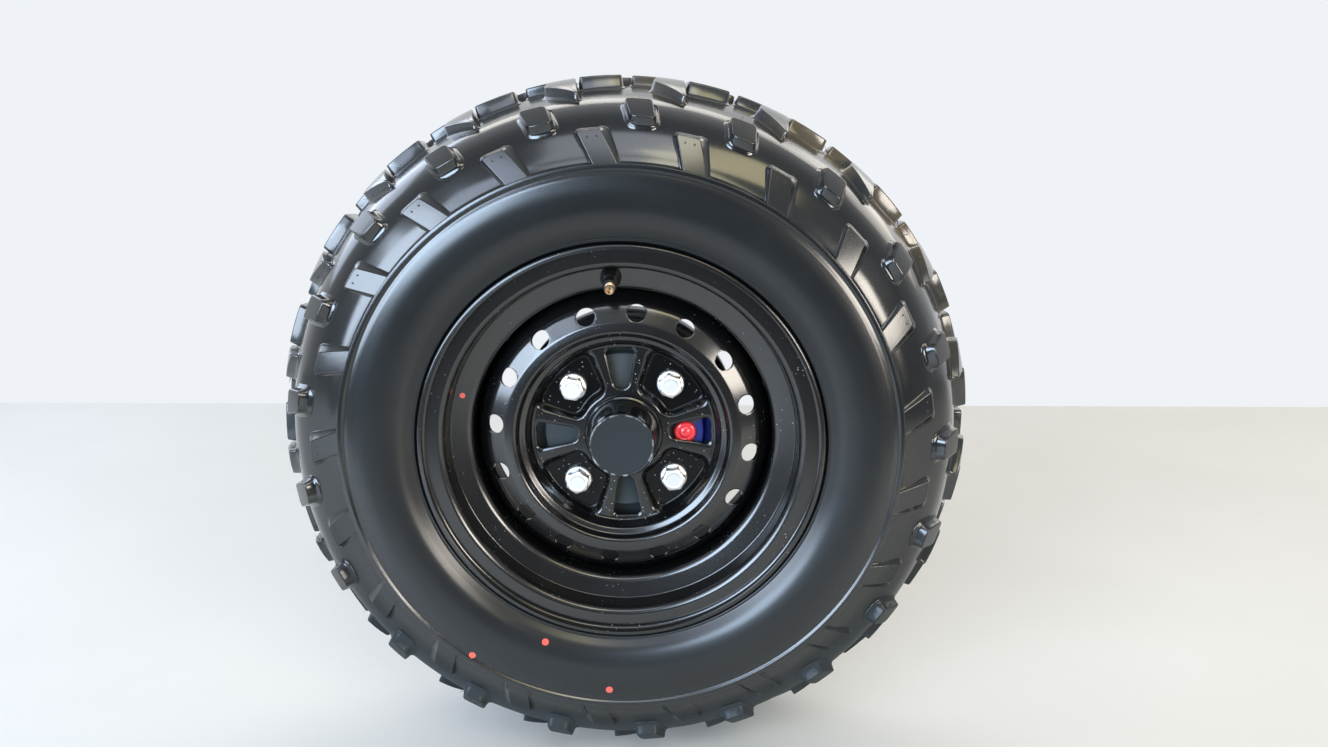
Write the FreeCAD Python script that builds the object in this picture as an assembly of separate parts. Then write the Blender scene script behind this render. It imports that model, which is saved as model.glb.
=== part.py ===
import FreeCAD, Part
import math
import os

# Front wheel assembly of a utility quad bike, in millimetres, +Z up.
# The wheel turns about Y. Its outer face looks along -Y, the bike's front is along -X.
# The origin is the mouth of the knuckle's lower ball joint bore.

V = FreeCAD.Vector

# Where the wheel sits from the origin
AXLE_Z = 80.0            # wheel axis above the lower ball joint
LIP_Y = -130.0           # outer rim lip, the plane from which every depth d is measured
SPIN_PHASE = -2.0        # degrees the wheel is turned at rest, clockwise seen from outside

# Tyre, 22 x 7 - 11
PITCHES = 21             # lug pattern repeats per turn
MID_D = 80.0             # depth of the wheel's centre plane

# Pressed steel rim, 11 x 5.5
RIM_T = 2.3              # barrel sheet
DISC_T = 3.0             # centre disc sheet
DISC_SEAT_R = 118.4      # disc flange inside the barrel's well
NUT_PCD_R = 55.0         # four nuts on a 110 mm circle
HUB_FACE_D = 51.0        # the disc's pads seat here

FIT = 0.3                # gap left between curved faces of different pieces that touch
SPIN_FIT = 0.05          # radial running clearance of hub on spindle


def at(d, r, angle=0.0):
    """Point at depth d and radius r, angle clockwise from the top seen from outside."""
    a = math.radians(angle)
    return V(r * math.sin(a), LIP_Y + d, AXLE_Z + r * math.cos(a))


def along(p, q, distance):
    """Point that lies the distance from p towards q, in a (d, r) plane."""
    length = math.hypot(q[0] - p[0], q[1] - p[1])
    return (p[0] + (q[0] - p[0]) * distance / length, p[1] + (q[1] - p[1]) * distance / length)


def rounded(rows, place):
    """Closed wire through rows of (u, v, corner radius), put in space by place(u, v)."""
    corners = []
    count = len(rows)
    for i in range(count):
        here, radius = rows[i][:2], rows[i][2] if len(rows[i]) > 2 else 0.0
        before, after = rows[i - 1][:2], rows[(i + 1) % count][:2]
        if radius <= 0.0:
            corners.append((here, None, here))
            continue
        a1 = math.atan2(here[1] - before[1], here[0] - before[0])
        a2 = math.atan2(after[1] - here[1], after[0] - here[0])
        turn = math.atan2(math.sin(a2 - a1), math.cos(a2 - a1))
        reach = radius * math.tan(abs(turn) / 2)
        start, end = along(here, before, reach), along(here, after, reach)
        chord = ((start[0] + end[0]) / 2, (start[1] + end[1]) / 2)
        depth = math.hypot(here[0] - chord[0], here[1] - chord[1])
        middle = along(chord, here, radius * (1 - math.cos(turn / 2))) if depth > 1e-6 else None
        corners.append((start, middle, end))
    edges = []
    for i, (start, middle, end) in enumerate(corners):
        if middle:
            edges.append(Part.Arc(place(*start), place(*middle), place(*end)).toShape())
        nxt = corners[(i + 1) % count][0]
        if math.hypot(nxt[0] - end[0], nxt[1] - end[1]) > 1e-5:
            edges.append(Part.LineSegment(place(*end), place(*nxt)).toShape())
    return Part.Wire(edges)


def turned(rows):
    """Solid of revolution about the wheel axis from rows of (d, r, corner radius)."""
    face = Part.Face(rounded(rows, at))
    return face.revolve(at(0, 0), V(0, 1, 0), 360.0)


def sheet(rows, thickness):
    """Rows of a closed profile that is the given open path with a thickness to its right."""
    points = [row[:2] for row in rows]
    offset = []
    for i, row in enumerate(rows):
        p = points[i]
        sides = []
        if i > 0:
            sides.append((p[0] - points[i - 1][0], p[1] - points[i - 1][1]))
        if i < len(rows) - 1:
            sides.append((points[i + 1][0] - p[0], points[i + 1][1] - p[1]))
        normals = [(s[1] / math.hypot(*s), -s[0] / math.hypot(*s)) for s in sides]
        n = (sum(m[0] for m in normals), sum(m[1] for m in normals))
        scale = thickness * len(normals) / (n[0] ** 2 + n[1] ** 2)
        if len(normals) == 2:
            turn = sides[0][0] * sides[1][1] - sides[0][1] * sides[1][0]
            inner = row[2] + (thickness if turn > 0 else -thickness)
        else:
            inner = 0.0
        offset.append((p[0] + n[0] * scale, p[1] + n[1] * scale, max(inner, 0.2) if inner else 0.0))
    return list(rows) + offset[::-1]


def sector(d, r_in, r_out, half_angle, centre, corner):
    """Wire of a ring sector at depth d with rounded corners, its sides radial."""
    def place(u, v):
        return at(d, v, centre + u)
    inset_out = math.degrees(corner / r_out)
    inset_in = math.degrees(corner / r_in)
    lo, hi = -half_angle, half_angle
    mid = 0.293 * corner
    edges = [
        Part.Arc(place(lo + inset_out, r_out), place(0, r_out), place(hi - inset_out, r_out)),
        Part.Arc(place(hi - inset_out, r_out), place(hi - inset_out * 0.293, r_out - mid),
                 place(hi, r_out - corner)),
        Part.LineSegment(place(hi, r_out - corner), place(hi, r_in + corner)),
        Part.Arc(place(hi, r_in + corner), place(hi - inset_in * 0.293, r_in + mid),
                 place(hi - inset_in, r_in)),
        Part.Arc(place(hi - inset_in, r_in), place(0, r_in), place(lo + inset_in, r_in)),
        Part.Arc(place(lo + inset_in, r_in), place(lo + inset_in * 0.293, r_in + mid),
                 place(lo, r_in + corner)),
        Part.LineSegment(place(lo, r_in + corner), place(lo, r_out - corner)),
        Part.Arc(place(lo, r_out - corner), place(lo + inset_out * 0.293, r_out - mid),
                 place(lo + inset_out, r_out)),
    ]
    return Part.Wire([edge.toShape() for edge in edges])


def prism(wire, depth):
    """Solid swept from a flat wire inboard by depth."""
    return Part.Face(wire).extrude(V(0, depth, 0))


def drafted(high, low, centre):
    """Ring sector solid with sloping walls between two rows of (d, r_in, r_out, half_angle, corner)."""
    wires = [sector(d, r_in, r_out, half, centre, corner) for d, r_in, r_out, half, corner in (high, low)]
    return Part.makeLoft(wires, True, True)


def rod(d, r, angle, radius, length, direction=V(0, 1, 0)):
    """Cylinder that starts at (d, r, angle)."""
    return Part.makeCylinder(radius, length, at(d, r, angle), direction)


def round_step(start, axis, along_axis, length, r_start, r_end):
    """Round step of a turned part, conical where its two radii differ, along its axis from start."""
    foot = start + axis * along_axis
    if r_start == r_end:
        return Part.makeCylinder(r_start, length, foot, axis)
    return Part.makeCone(r_start, r_end, length, foot, axis)


def flat_faces(rings):
    """One flat face in each ring of corners."""
    return [Part.Face(Part.makePolygon(list(ring) + [ring[0]])) for ring in rings]


def hull_plate(p, r1, q, r2, low, high, lying=False):
    """Plate with round ends of radius r1 at p and r2 at q: upright in XZ from y low to high,
    or lying in XY from z low to high."""
    dx, dv = q[0] - p[0], q[1] - p[1]
    length = math.hypot(dx, dv)
    base = math.atan2(dv, dx)
    open_angle = math.acos((r1 - r2) / length)

    def on(c, r, a):
        u, v = c[0] + r * math.cos(a), c[1] + r * math.sin(a)
        return V(u, v, low) if lying else V(u, low, v)

    up, down = base + open_angle, base - open_angle
    edges = [
        Part.LineSegment(on(p, r1, up), on(q, r2, up)),
        Part.Arc(on(q, r2, up), on(q, r2, base), on(q, r2, down)),
        Part.LineSegment(on(q, r2, down), on(p, r1, down)),
        Part.Arc(on(p, r1, down), on(p, r1, base + math.pi), on(p, r1, up)),
    ]
    sweep = V(0, 0, high - low) if lying else V(0, high - low, 0)
    return Part.Face(Part.Wire([e.toShape() for e in edges])).extrude(sweep)


nodes = {}

# Tyre: a moulded shell, bead to bead, with its lugs. Its rings run through stations at equal
# turns, two to a pitch of the pattern outside and one inside, with flat faces between them.
STATION_TURN = 0.6       # the stations lie between the lugs
OUTER = [                # d, r from the bead's toe over sidewall and shoulder to the crown
    (28.0, 139.3), (12.0, 140.8), (10.9, 157.2), (2.5, 159.6), (-5.5, 173.0), (-9.0, 194.0),
    (-8.4, 213.8), (-4.8, 215.4), (4.8, 239.0), (21.0, 256.6), (42.0, 264.4), (62.0, 268.9),
]
CAVITY = [               # d, r of the air side
    (31.0, 125.0), (26.0, 150.0), (0.5, 190.0), (4.5, 221.0), (23.0, 246.5), (56.0, 257.5),
]


def mirrored(rows):
    """The same half profile on the inboard side of the centre plane."""
    return [(2 * MID_D - d, r) for d, r in reversed(rows)]


def faceted(rows, stations):
    """Ring solid with flat faces between stations, as wide as the round one on average."""
    step = 360.0 / stations
    scale = 2.0 / (1.0 + math.cos(math.radians(step / 2.0)))
    rings = []
    for k in range(stations):
        a = STATION_TURN + k * step
        for i, (d1, r1) in enumerate(rows):
            d2, r2 = rows[(i + 1) % len(rows)]
            r1s, r2s = r1 * scale, r2 * scale
            rings.append((at(d1, r1s, a), at(d2, r2s, a), at(d2, r2s, a + step), at(d1, r1s, a + step)))
    return Part.Solid(Part.Shell(flat_faces(rings)))


# One pitch of lugs on one side: four corners of each top as (angle, d, r), then how deep the
# foot is sunk below the top and how much larger the foot is.
LUGS = {
    "sidewall bar": (((-4.5, -7.9, 213.6), (0.4, -7.9, 213.6), (-2.5, 0.5, 237.5), (-7.3, 0.5, 237.5)),
                     7.0, 1.05),
    "shoulder knob": (((2.4, 1.0, 246.6), (6.4, 1.0, 246.6), (5.0, 14.0, 259.3), (1.0, 14.0, 259.3)),
                      12.0, 1.15),
    "shoulder lug": (((5.0, 47.0, 274.0), (10.7, 25.0, 264.2), (9.9, 62.0, 277.5), (5.4, 62.0, 277.5)),
                     14.0, 1.12),
    "centre lug": (((-6.3, 54.0, 277.5), (0.1, 58.0, 277.8), (-0.6, 92.0, 277.8), (-7.0, 92.0, 277.8)),
                   14.0, 1.12),
}


def lug(corners, sink, flare, turn, side):
    """One lug: its top's corners, and a foot that is the top's larger copy sunk in the carcass."""
    top = [at(d if side == 0 else 2 * MID_D - d, r, angle + turn) for angle, d, r in corners]
    middle = (top[0] + top[1] + top[2] + top[3]) * 0.25
    inward = (top[2] - top[0]).cross(top[3] - top[1]).normalize() * sink
    if inward.dot(at(MID_D, 0) - middle) < 0:
        inward = inward * -1.0
    foot = [middle + inward + (corner - middle) * flare for corner in top]
    rings = [(top[0], top[1], top[2]), (top[0], top[2], top[3])]
    rings += [(foot[2], foot[1], foot[0]), (foot[3], foot[2], foot[0])]
    rings += [(foot[i], foot[(i + 1) % 4], top[(i + 1) % 4], top[i]) for i in range(4)]
    return Part.Solid(Part.Shell(flat_faces(rings)))


carcass = faceted(OUTER + mirrored(OUTER), 2 * PITCHES)
carcass = carcass.cut(faceted(CAVITY + mirrored(CAVITY), PITCHES))
lugs = []
for pitch in range(PITCHES):
    for side in (0, 1):
        turn = (pitch + side * 0.5) * 360.0 / PITCHES
        for corners, sink, flare in LUGS.values():
            lugs.append(lug(corners, sink, flare, turn, side))
nodes["tyre"] = carcass.fuse(lugs).removeSplitter()

# Rim barrel: rolled sheet with a curled lip, bead seats and a drop centre well.
barrel_path = [(0.0, 152.8, 0.0), (0.0, 156.4, 2.6), (10.4, 156.4, 7.0), (10.4, 139.7, 3.2),
               (28.5, 138.2, 3.5), (31.5, 121.0, 3.5), (96.0, 121.0, 6.0), (131.5, 138.2, 3.0),
               (149.6, 139.7, 3.2), (149.6, 156.4, 7.0), (160.0, 156.4, 2.6), (160.0, 152.8, 0.0)]
barrel = turned(sheet(barrel_path, RIM_T))
VALVE_TURN = SPIN_PHASE - 1.5
VALVE_ROOT, VALVE_END = (38.5, 130.9), (-1.0, 121.0)    # d and r of two points on the valve's axis
VALVE_HOLE_R = 5.7
valve_root = at(*VALVE_ROOT, VALVE_TURN)
valve_axis = (at(*VALVE_END, VALVE_TURN) - valve_root).normalize()
nodes["rim_barrel"] = barrel.cut(round_step(valve_root, valve_axis, -4.0, 30.0, VALVE_HOLE_R, VALVE_HOLE_R))

# Valve: a moulded rubber stem snapped into its hole, with a brass end.
STEM_STEPS = (       # start along the valve's axis, length, radius at the start, radius at the end
    (6.6, 6.0, 5.4, 5.4), (3.4, 4.0, 6.6, 8.0), (12.2, 5.0, 8.0, 5.6), (16.6, 13.0, 5.6, 5.6),
)
TIP_AT, TIP_LONG, TIP_R, TIP_BORE_AT, TIP_BORE_R = 29.6, 6.5, 3.9, 32.6, 2.6
stem, *collars = [round_step(valve_root, valve_axis, *row) for row in STEM_STEPS]
nodes["valve_stem"] = stem.fuse(collars)
tip = round_step(valve_root, valve_axis, TIP_AT, TIP_LONG, TIP_R, TIP_R)
tip_bore = round_step(valve_root, valve_axis, TIP_BORE_AT, TIP_LONG, TIP_BORE_R, TIP_BORE_R)
nodes["valve_tip"] = tip.cut(tip_bore)

# Wheel disc: one pressing from the centre hole over the crown to the flange in the well. Four nut
# pads are pressed deeper between the four lands, and each land has a window.
HOLE_R, LAND_D, PAD_D = 31.2, 42.0, 48.0
disc_path = [(LAND_D, HOLE_R, 0.0), (LAND_D, 74.0, 3.0), (32.5, 77.5, 3.5), (31.0, 82.5, 3.0),
             (25.0, 84.5, 3.5), (25.6, 93.5, 6.0), (31.0, 107.0, 10.0), (48.0, DISC_SEAT_R, 12.0),
             (78.0, DISC_SEAT_R, 0.0)]
disc = turned(sheet(disc_path, DISC_T))
PAD_BACK = ((LAND_D + 0.5, 32.2, 76.4, 29.0, 10.0), (HUB_FACE_D, 36.6, 73.2, 24.8, 7.5))
PAD_FRONT = ((38.0, 31.9, 75.2, 29.6, 10.0), (PAD_D, 38.4, 71.5, 23.0, 6.0))
NUT_HOLE_R = 6.0
PUNCH_AHEAD, PUNCH_LONG = 5.0, 20.0                 # a punch starts ahead of the sheet's face
for quarter in range(4):
    pad_turn = SPIN_PHASE + 45.0 + quarter * 90.0
    disc = disc.fuse(drafted(*PAD_BACK, pad_turn)).cut(drafted(*PAD_FRONT, pad_turn))
    disc = disc.cut(rod(PAD_D - PUNCH_AHEAD, NUT_PCD_R, pad_turn, NUT_HOLE_R, PUNCH_LONG))
WINDOW = ((37.0, 5.6, 4.4), (70.0, 12.2, 4.4))      # r, half width and corner of the inner and outer end
for quarter in range(4):
    turn = SPIN_PHASE + quarter * 90.0
    across = at(0, 1, turn + 90.0) - at(0, 0)
    outward = at(0, 1, turn) - at(0, 0)
    (r_in, half_in, corner_in), (r_out, half_out, corner_out) = WINDOW
    rows = [(-half_in, r_in, corner_in), (half_in, r_in, corner_in),
            (half_out, r_out, corner_out), (-half_out, r_out, corner_out)]
    window = rounded(rows, lambda u, v: at(LAND_D - PUNCH_AHEAD, 0) + across * u + outward * v)
    disc = disc.cut(prism(window, PUNCH_LONG))
VENTS, VENT_R, VENT_D, VENT_PITCH_R = 16, 7.6, 27.6, 102.0
VENT_TURN, VENT_REACH = SPIN_PHASE + 8.5, 15.0      # first vent; a punch reaches as far to both sides
VENT_LEAN = -0.4                                    # how far outward a punch leans per depth
for vent in range(VENTS):
    turn = VENT_TURN + vent * 360.0 / VENTS
    start = at(VENT_D - VENT_REACH, VENT_PITCH_R - VENT_REACH * VENT_LEAN, turn)
    axis = (at(VENT_D, VENT_PITCH_R, turn) - start).normalize()
    disc = disc.cut(Part.makeCylinder(VENT_R, 2 * VENT_REACH, start, axis))
nodes["wheel_disc"] = disc

# Wheel nuts: closed hexagons with a chamfered end and a round seat flange.
NUT_AF, NUT_TOP_D, NUT_FLANGE_D, NUT_FLANGE_R = 17.0, 35.5, 45.0, 11.0
NUT_END_R, NUT_CHAMFER, NUT_OVERLAP = 7.9, 1.7, 0.5    # the chamfer's radius grows 1.7 per depth
NUT_BORE_FROM, NUT_BORE_LONG = 5.5, 13.0
STUD_R, STUD_END_D, STUD_LONG = 5.0, 42.0, 16.0
AXIS = V(0, 1, 0)
nut_corner = NUT_AF / math.sqrt(3.0)
NUT_HEX = NUT_FLANGE_D - NUT_TOP_D
nut_height = NUT_HEX + NUT_OVERLAP
NUT_WIDE_R = NUT_END_R + nut_height * NUT_CHAMFER
nuts = []
for quarter in range(4):
    centre = at(NUT_TOP_D, NUT_PCD_R, SPIN_PHASE + 45.0 + quarter * 90.0)
    turns = [math.radians(60 * corner) for corner in range(7)]
    ring = [centre + V(nut_corner * math.cos(turn), 0, nut_corner * math.sin(turn)) for turn in turns]
    nut = Part.Face(Part.makePolygon(ring)).extrude(AXIS * nut_height)
    nut = nut.common(round_step(centre, AXIS, 0.0, nut_height, NUT_END_R, NUT_WIDE_R))
    nut = nut.fuse(round_step(centre, AXIS, NUT_HEX, PAD_D - NUT_FLANGE_D, NUT_FLANGE_R, NUT_FLANGE_R))
    nuts.append(nut.cut(round_step(centre, AXIS, NUT_BORE_FROM, NUT_BORE_LONG, STUD_R + FIT, STUD_R + FIT)))
nodes["wheel_nuts"] = Part.makeCompound(nuts)

# Brake drum: an iron casting, hub and drum in one, with two cooling fins and four pressed studs.
SPINDLE_R = 12.5
HUB_NOSE_D, HUB_END_D = 34.0, 90.0
DRUM_R, SHOE_R, DRUM_END_D = 84.0, 80.0, 98.0
FINS, FIN_R, FIN_W, FIN_SOFT = (76.0, 84.0), 87.0, 2.5, 0.7
drum_rows = [(HUB_FACE_D, 30.8, 0.0), (HUB_FACE_D, 64.0, 1.5), (57.0, 65.5, 4.0), (62.0, 80.0, 6.0),
             (68.0, DRUM_R, 3.0)]
for fin_d in FINS:
    drum_rows += [(fin_d, DRUM_R, FIN_SOFT), (fin_d, FIN_R, FIN_SOFT),
                  (fin_d + FIN_W, FIN_R, FIN_SOFT), (fin_d + FIN_W, DRUM_R, FIN_SOFT)]
HUB_BORE_R = SPINDLE_R + SPIN_FIT
drum_rows += [(DRUM_END_D, DRUM_R, 0.5), (DRUM_END_D, SHOE_R, 0.0), (73.0, SHOE_R - 0.5, 4.0),
              (67.0, 30.0, 4.0), (HUB_END_D, 26.0, 1.0), (HUB_END_D, HUB_BORE_R, 0.0),
              (HUB_NOSE_D, HUB_BORE_R, 0.0), (HUB_NOSE_D, 24.0, 1.5), (44.0, 24.6, 0.0), (44.0, 30.8, 1.0)]
drum = turned(drum_rows)
stud_turns = [SPIN_PHASE + 45.0 + quarter * 90.0 for quarter in range(4)]
studs = [rod(STUD_END_D, NUT_PCD_R, turn, STUD_R, STUD_LONG) for turn in stud_turns]
PLUG_R, PLUG_HEAD_R, PLUG_HEAD_T, PLUG_LONG = 7.0, 9.0, 3.0, 9.0
PLUG_AT_R, PLUG_TURN = 49.3, SPIN_PHASE + 92.9
plug_hole = rod(HUB_FACE_D - PLUG_HEAD_T, PLUG_AT_R, PLUG_TURN, PLUG_R, 30.0)
nodes["brake_drum"] = drum.fuse(studs).cut(plug_hole)

# Drum plug: a red rubber bung in the adjuster's hole.
plug = rod(HUB_FACE_D - PLUG_HEAD_T, PLUG_AT_R, PLUG_TURN, PLUG_HEAD_R, PLUG_HEAD_T)
nodes["drum_plug"] = plug.fuse(rod(HUB_FACE_D, PLUG_AT_R, PLUG_TURN, PLUG_R - FIT, PLUG_LONG))

# Hub cap: a moulded cup over the spindle's end.
cap_rows = [(44.0, 30.8, 0.0), (41.5, 30.8, 0.5), (40.0, 28.6, 1.5), (13.0, 26.4, 0.5), (10.0, 23.9, 0.6),
            (10.0, 0.0, 0.0), (12.5, 0.0, 0.0), (12.5, 23.4, 1.0), (41.0, 25.2, 0.0), (44.0, 25.2, 0.0)]
nodes["hub_cap"] = turned(cap_rows)

# Steering knuckle: a forging with the spindle, two webs to the ball joint eyes and the steering
# arm. The webs have the shallow pockets that a die leaves, and end in necks that carry the eyes.
KNUCKLE_D = 106.0
EYE_R, BORE_R, EYE_H = 13.0, 6.0, 22.0
EYE_UP = V(8.0, 12.0, 2 * AXLE_Z - 16.0)
ARM_EYE = V(88.0, 0.0, AXLE_Z - 34.0)
ARM_EYE_R, ARM_EYE_H, ARM_BORE_R = 11.0, 18.0, 5.0
spindle_rows = [(22.0, 0.0, 0.0), (22.0, 9.0, 1.0), (33.0, 9.0, 0.0), (33.0, SPINDLE_R, 0.5),
                (92.0, SPINDLE_R, 0.0), (92.0, 16.0, 1.0), (100.0, 20.3, 0.0), (KNUCKLE_D, 20.3, 0.0),
                (KNUCKLE_D, 36.0, 2.0), (116.0, 36.0, 3.0), (124.0, 27.0, 4.0), (132.0, 20.0, 4.0),
                (132.0, 9.0, 2.0), (128.0, 7.0, 1.0), (128.0, 0.0, 0.0)]
knuckle = turned(spindle_rows)
WEB_Y, WEB_T, DIE_POCKET, DIE_RIM = LIP_Y + 110.0, 14.0, 4.0, 5.5
POCKET_FROM, POCKET_TO = 37.0, 0.86     # a pocket starts this far from the root and ends at this share
UP = V(0, 0, 1)
WEBS = (        # root (x, z) and its radius, tip (x, z) and its radius, how far inboard of WEB_Y
    ((0.0, AXLE_Z), 27.0, (0.0, 12.0), EYE_R, 0.0),
    ((0.0, AXLE_Z), 27.0, (EYE_UP.x, EYE_UP.z - 12.0), EYE_R, 0.0),
    ((6.0, AXLE_Z - 8.0), 18.0, (ARM_EYE.x, ARM_EYE.z + 9.0), 9.0, 1.0),
)
webs, pockets = [], []
for root, root_r, tip, tip_r, inboard in WEBS:
    low, high = WEB_Y + inboard, WEB_Y + inboard + WEB_T
    webs.append(hull_plate(root, root_r, tip, tip_r, low, high))
    share = POCKET_FROM / math.hypot(tip[0] - root[0], tip[1] - root[1])
    start = (root[0] + (tip[0] - root[0]) * share, root[1] + (tip[1] - root[1]) * share)
    start_r = root_r + (tip_r - root_r) * share - DIE_RIM
    stop = (root[0] + (tip[0] - root[0]) * POCKET_TO, root[1] + (tip[1] - root[1]) * POCKET_TO)
    if start_r > tip_r - DIE_RIM:
        pockets.append(hull_plate(start, start_r, stop, tip_r - DIE_RIM, high - DIE_POCKET, high + 1.0))
lower_neck = hull_plate((0.0, WEB_Y + 2.0), EYE_R + 1.0, (0.0, 0.0), EYE_R, 0.0, EYE_H, lying=True)
upper_neck = hull_plate((EYE_UP.x - 4.0, WEB_Y + 6.0), EYE_R + 1.0, (EYE_UP.x, EYE_UP.y), EYE_R,
                        EYE_UP.z - EYE_H, EYE_UP.z, lying=True)
arm_eye = round_step(ARM_EYE, UP, 0.0, ARM_EYE_H, ARM_EYE_R, ARM_EYE_R)
knuckle = knuckle.fuse(webs).cut(pockets).fuse([lower_neck, upper_neck, arm_eye])
BALL_NUT_ROOM, PANEL_BACK = 20.0, 109.6
lower_bore = round_step(V(0, 0, 0), UP, -5.0, 40.0, BORE_R, BORE_R)
upper_bore = round_step(EYE_UP, UP, -30.0, 40.0, BORE_R, BORE_R)
arm_bore = round_step(ARM_EYE, UP, -5.0, 30.0, ARM_BORE_R, ARM_BORE_R)
ball_nut_room = round_step(V(0, 0, 0), UP, EYE_H, BALL_NUT_ROOM, EYE_R, EYE_R)
panel_room = turned([(90.0, 36.2, 0.0), (90.0, 110.0, 0.0), (PANEL_BACK, 110.0, 0.0),
                     (PANEL_BACK, 36.2, 0.0)])
nodes["steering_knuckle"] = knuckle.cut([lower_bore, upper_bore, arm_bore, ball_nut_room, panel_room])

# Brake panel: an aluminium casting that closes the drum, bolted to the knuckle's flange. Its rim
# reaches over the drum's end against water, and its back has ribs, a boss and two plug collars.
PANEL_R, PANEL_D, RIM_GAP = 92.4, 103.0, 5.2
RIM_IN = DRUM_R + RIM_GAP
panel_rows = [(PANEL_D, 20.6, 0.0), (PANEL_D, RIM_IN, 1.0), (92.5, RIM_IN, 0.0), (92.5, PANEL_R, 0.8),
              (108.8, PANEL_R, 2.0), (108.8, 86.0, 2.0), (KNUCKLE_D, 82.0, 2.0), (KNUCKLE_D, 20.6, 0.0)]
panel = turned(panel_rows)
RIBS = (-150.0, -115.0, -80.0, -50.0, -20.0, 10.0, 100.0, 130.0, 165.0)      # their turns
RIB_W, RIB_FOOT_D, RIB_TOP_D, RIB_IN, RIB_OUT = 4.0, 104.0, 108.8, 41.0, 88.0
for turn in RIBS:
    across = at(0, 1, turn + 90.0) - at(0, 0)
    outward = at(0, 1, turn) - at(0, 0)
    rows = [(-RIB_W / 2, RIB_IN, 1.5), (RIB_W / 2, RIB_IN, 1.5),
            (RIB_W / 2, RIB_OUT, 0.0), (-RIB_W / 2, RIB_OUT, 0.0)]
    rib = rounded(rows, lambda u, v: at(RIB_FOOT_D, 0) + across * u + outward * v)
    panel = panel.fuse(prism(rib, RIB_TOP_D - RIB_FOOT_D))
BOSS_H, BOSS_BORE_D, BOSS_BORE_LONG = 5.2, 105.5, 6.0
BOSSES = ((232.0, 66.0, 9.0, 0.0), (205.0, 70.0, 8.0, 5.0), (82.0, 68.0, 8.0, 5.0))   # turn, r, radius, bore
for turn, r, boss_r, bore in BOSSES:
    panel = panel.fuse(rod(RIB_FOOT_D, r, turn, boss_r, BOSS_H))
    if bore:
        panel = panel.cut(rod(BOSS_BORE_D, r, turn, bore, BOSS_BORE_LONG))
nodes["brake_panel"] = panel

# Wheel cylinder: an aluminium housing on the panel's back with the hose's port and the bleeder.
CYL_R, CYL_TURN, CYL_HALF, CYL_HIGH, CYL_T, CYL_APART = 61.0, 52.0, 19.0, 8.0, 13.0, 11.0
PORT_R, PORT_LONG, PORT_BORE, PORT_FROM = 8.0, 19.0, 5.0, 6.5
BLEED_R, BLEED_LONG, BLEED_BORE, BLEED_FROM = 6.5, 16.0, 3.3, 5.0
cyl_at = at(KNUCKLE_D, CYL_R, CYL_TURN)
cyl_dir = at(0, 1, CYL_TURN + 90.0) - at(0, 0)
out_dir = at(0, 1, CYL_TURN) - at(0, 0)
port_at, bleed_at = cyl_at - cyl_dir * CYL_APART, cyl_at + cyl_dir * CYL_APART
corners = [(-CYL_HALF, -CYL_HIGH), (CYL_HALF, -CYL_HIGH), (CYL_HALF, CYL_HIGH), (-CYL_HALF, CYL_HIGH)]
housing = rounded(corners, lambda u, v: cyl_at + cyl_dir * u + out_dir * v)
port_boss = round_step(port_at, AXIS, 0.0, PORT_LONG, PORT_R, PORT_R)
bleed_boss = round_step(bleed_at, AXIS, 0.0, BLEED_LONG, BLEED_R, BLEED_R)
port_bore = round_step(port_at, AXIS, PORT_FROM, PORT_LONG, PORT_BORE, PORT_BORE)
bleed_bore = round_step(bleed_at, AXIS, BLEED_FROM, BLEED_LONG, BLEED_BORE, BLEED_BORE)
nodes["wheel_cylinder"] = prism(housing, CYL_T).fuse([port_boss, bleed_boss]).cut([port_bore, bleed_bore])

# Bleeder: a hollow screw's thread, hexagon and nipple, turned here as rounds, and its rubber cap.
BLEEDER_STEPS = ((5.0, 11.0, 3.0, 3.0), (16.0, 4.0, 4.6, 4.6), (18.0, 9.0, 2.6, 2.6))     # as for the stem
CAP_FROM, CAP_LONG, CAP_R, CAP_BORE_R, CAP_BORE_LONG = 20.4, 9.0, 4.4, 2.9, 6.6
thread, *rest = [round_step(bleed_at, AXIS, *row) for row in BLEEDER_STEPS]
nodes["bleeder_screw"] = thread.fuse(rest)
cap = round_step(bleed_at, AXIS, CAP_FROM, CAP_LONG, CAP_R, CAP_R)
nodes["bleeder_cap"] = cap.cut(round_step(bleed_at, AXIS, CAP_FROM, CAP_BORE_LONG, CAP_BORE_R, CAP_BORE_R))

os.makedirs("parts", exist_ok=True)
for name, shape in nodes.items():
    if not shape.isValid():
        print("not valid:", name)
    print(name, len(shape.Solids), "solids", round(shape.Volume / 1000.0, 1), "cm3")
    shape.exportStep("parts/" + name + ".step")
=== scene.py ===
import math
import bmesh
import bpy
from mathutils import Matrix, Vector


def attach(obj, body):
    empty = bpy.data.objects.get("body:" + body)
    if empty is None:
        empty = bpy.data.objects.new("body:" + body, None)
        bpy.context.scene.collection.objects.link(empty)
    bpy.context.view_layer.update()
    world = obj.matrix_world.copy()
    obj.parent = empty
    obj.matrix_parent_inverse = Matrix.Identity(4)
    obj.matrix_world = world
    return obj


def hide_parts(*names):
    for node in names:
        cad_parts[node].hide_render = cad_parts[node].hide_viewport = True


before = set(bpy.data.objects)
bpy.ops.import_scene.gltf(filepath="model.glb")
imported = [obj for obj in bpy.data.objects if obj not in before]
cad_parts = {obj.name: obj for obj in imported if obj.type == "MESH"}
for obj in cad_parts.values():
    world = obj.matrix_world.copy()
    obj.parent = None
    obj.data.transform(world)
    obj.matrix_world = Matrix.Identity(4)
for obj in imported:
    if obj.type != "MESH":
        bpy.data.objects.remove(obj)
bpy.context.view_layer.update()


# Rim barrel. A steel strip, rolled and welded to a ring, with curled lips, two bead seats and a
# drop centre between them. It is dipped in black enamel, like the disc that is welded into it.
LIP_Y, AXLE_Z, TURN = -0.130, 0.080, -2.0      # metres, and the degrees that the whole wheel is turned
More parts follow.
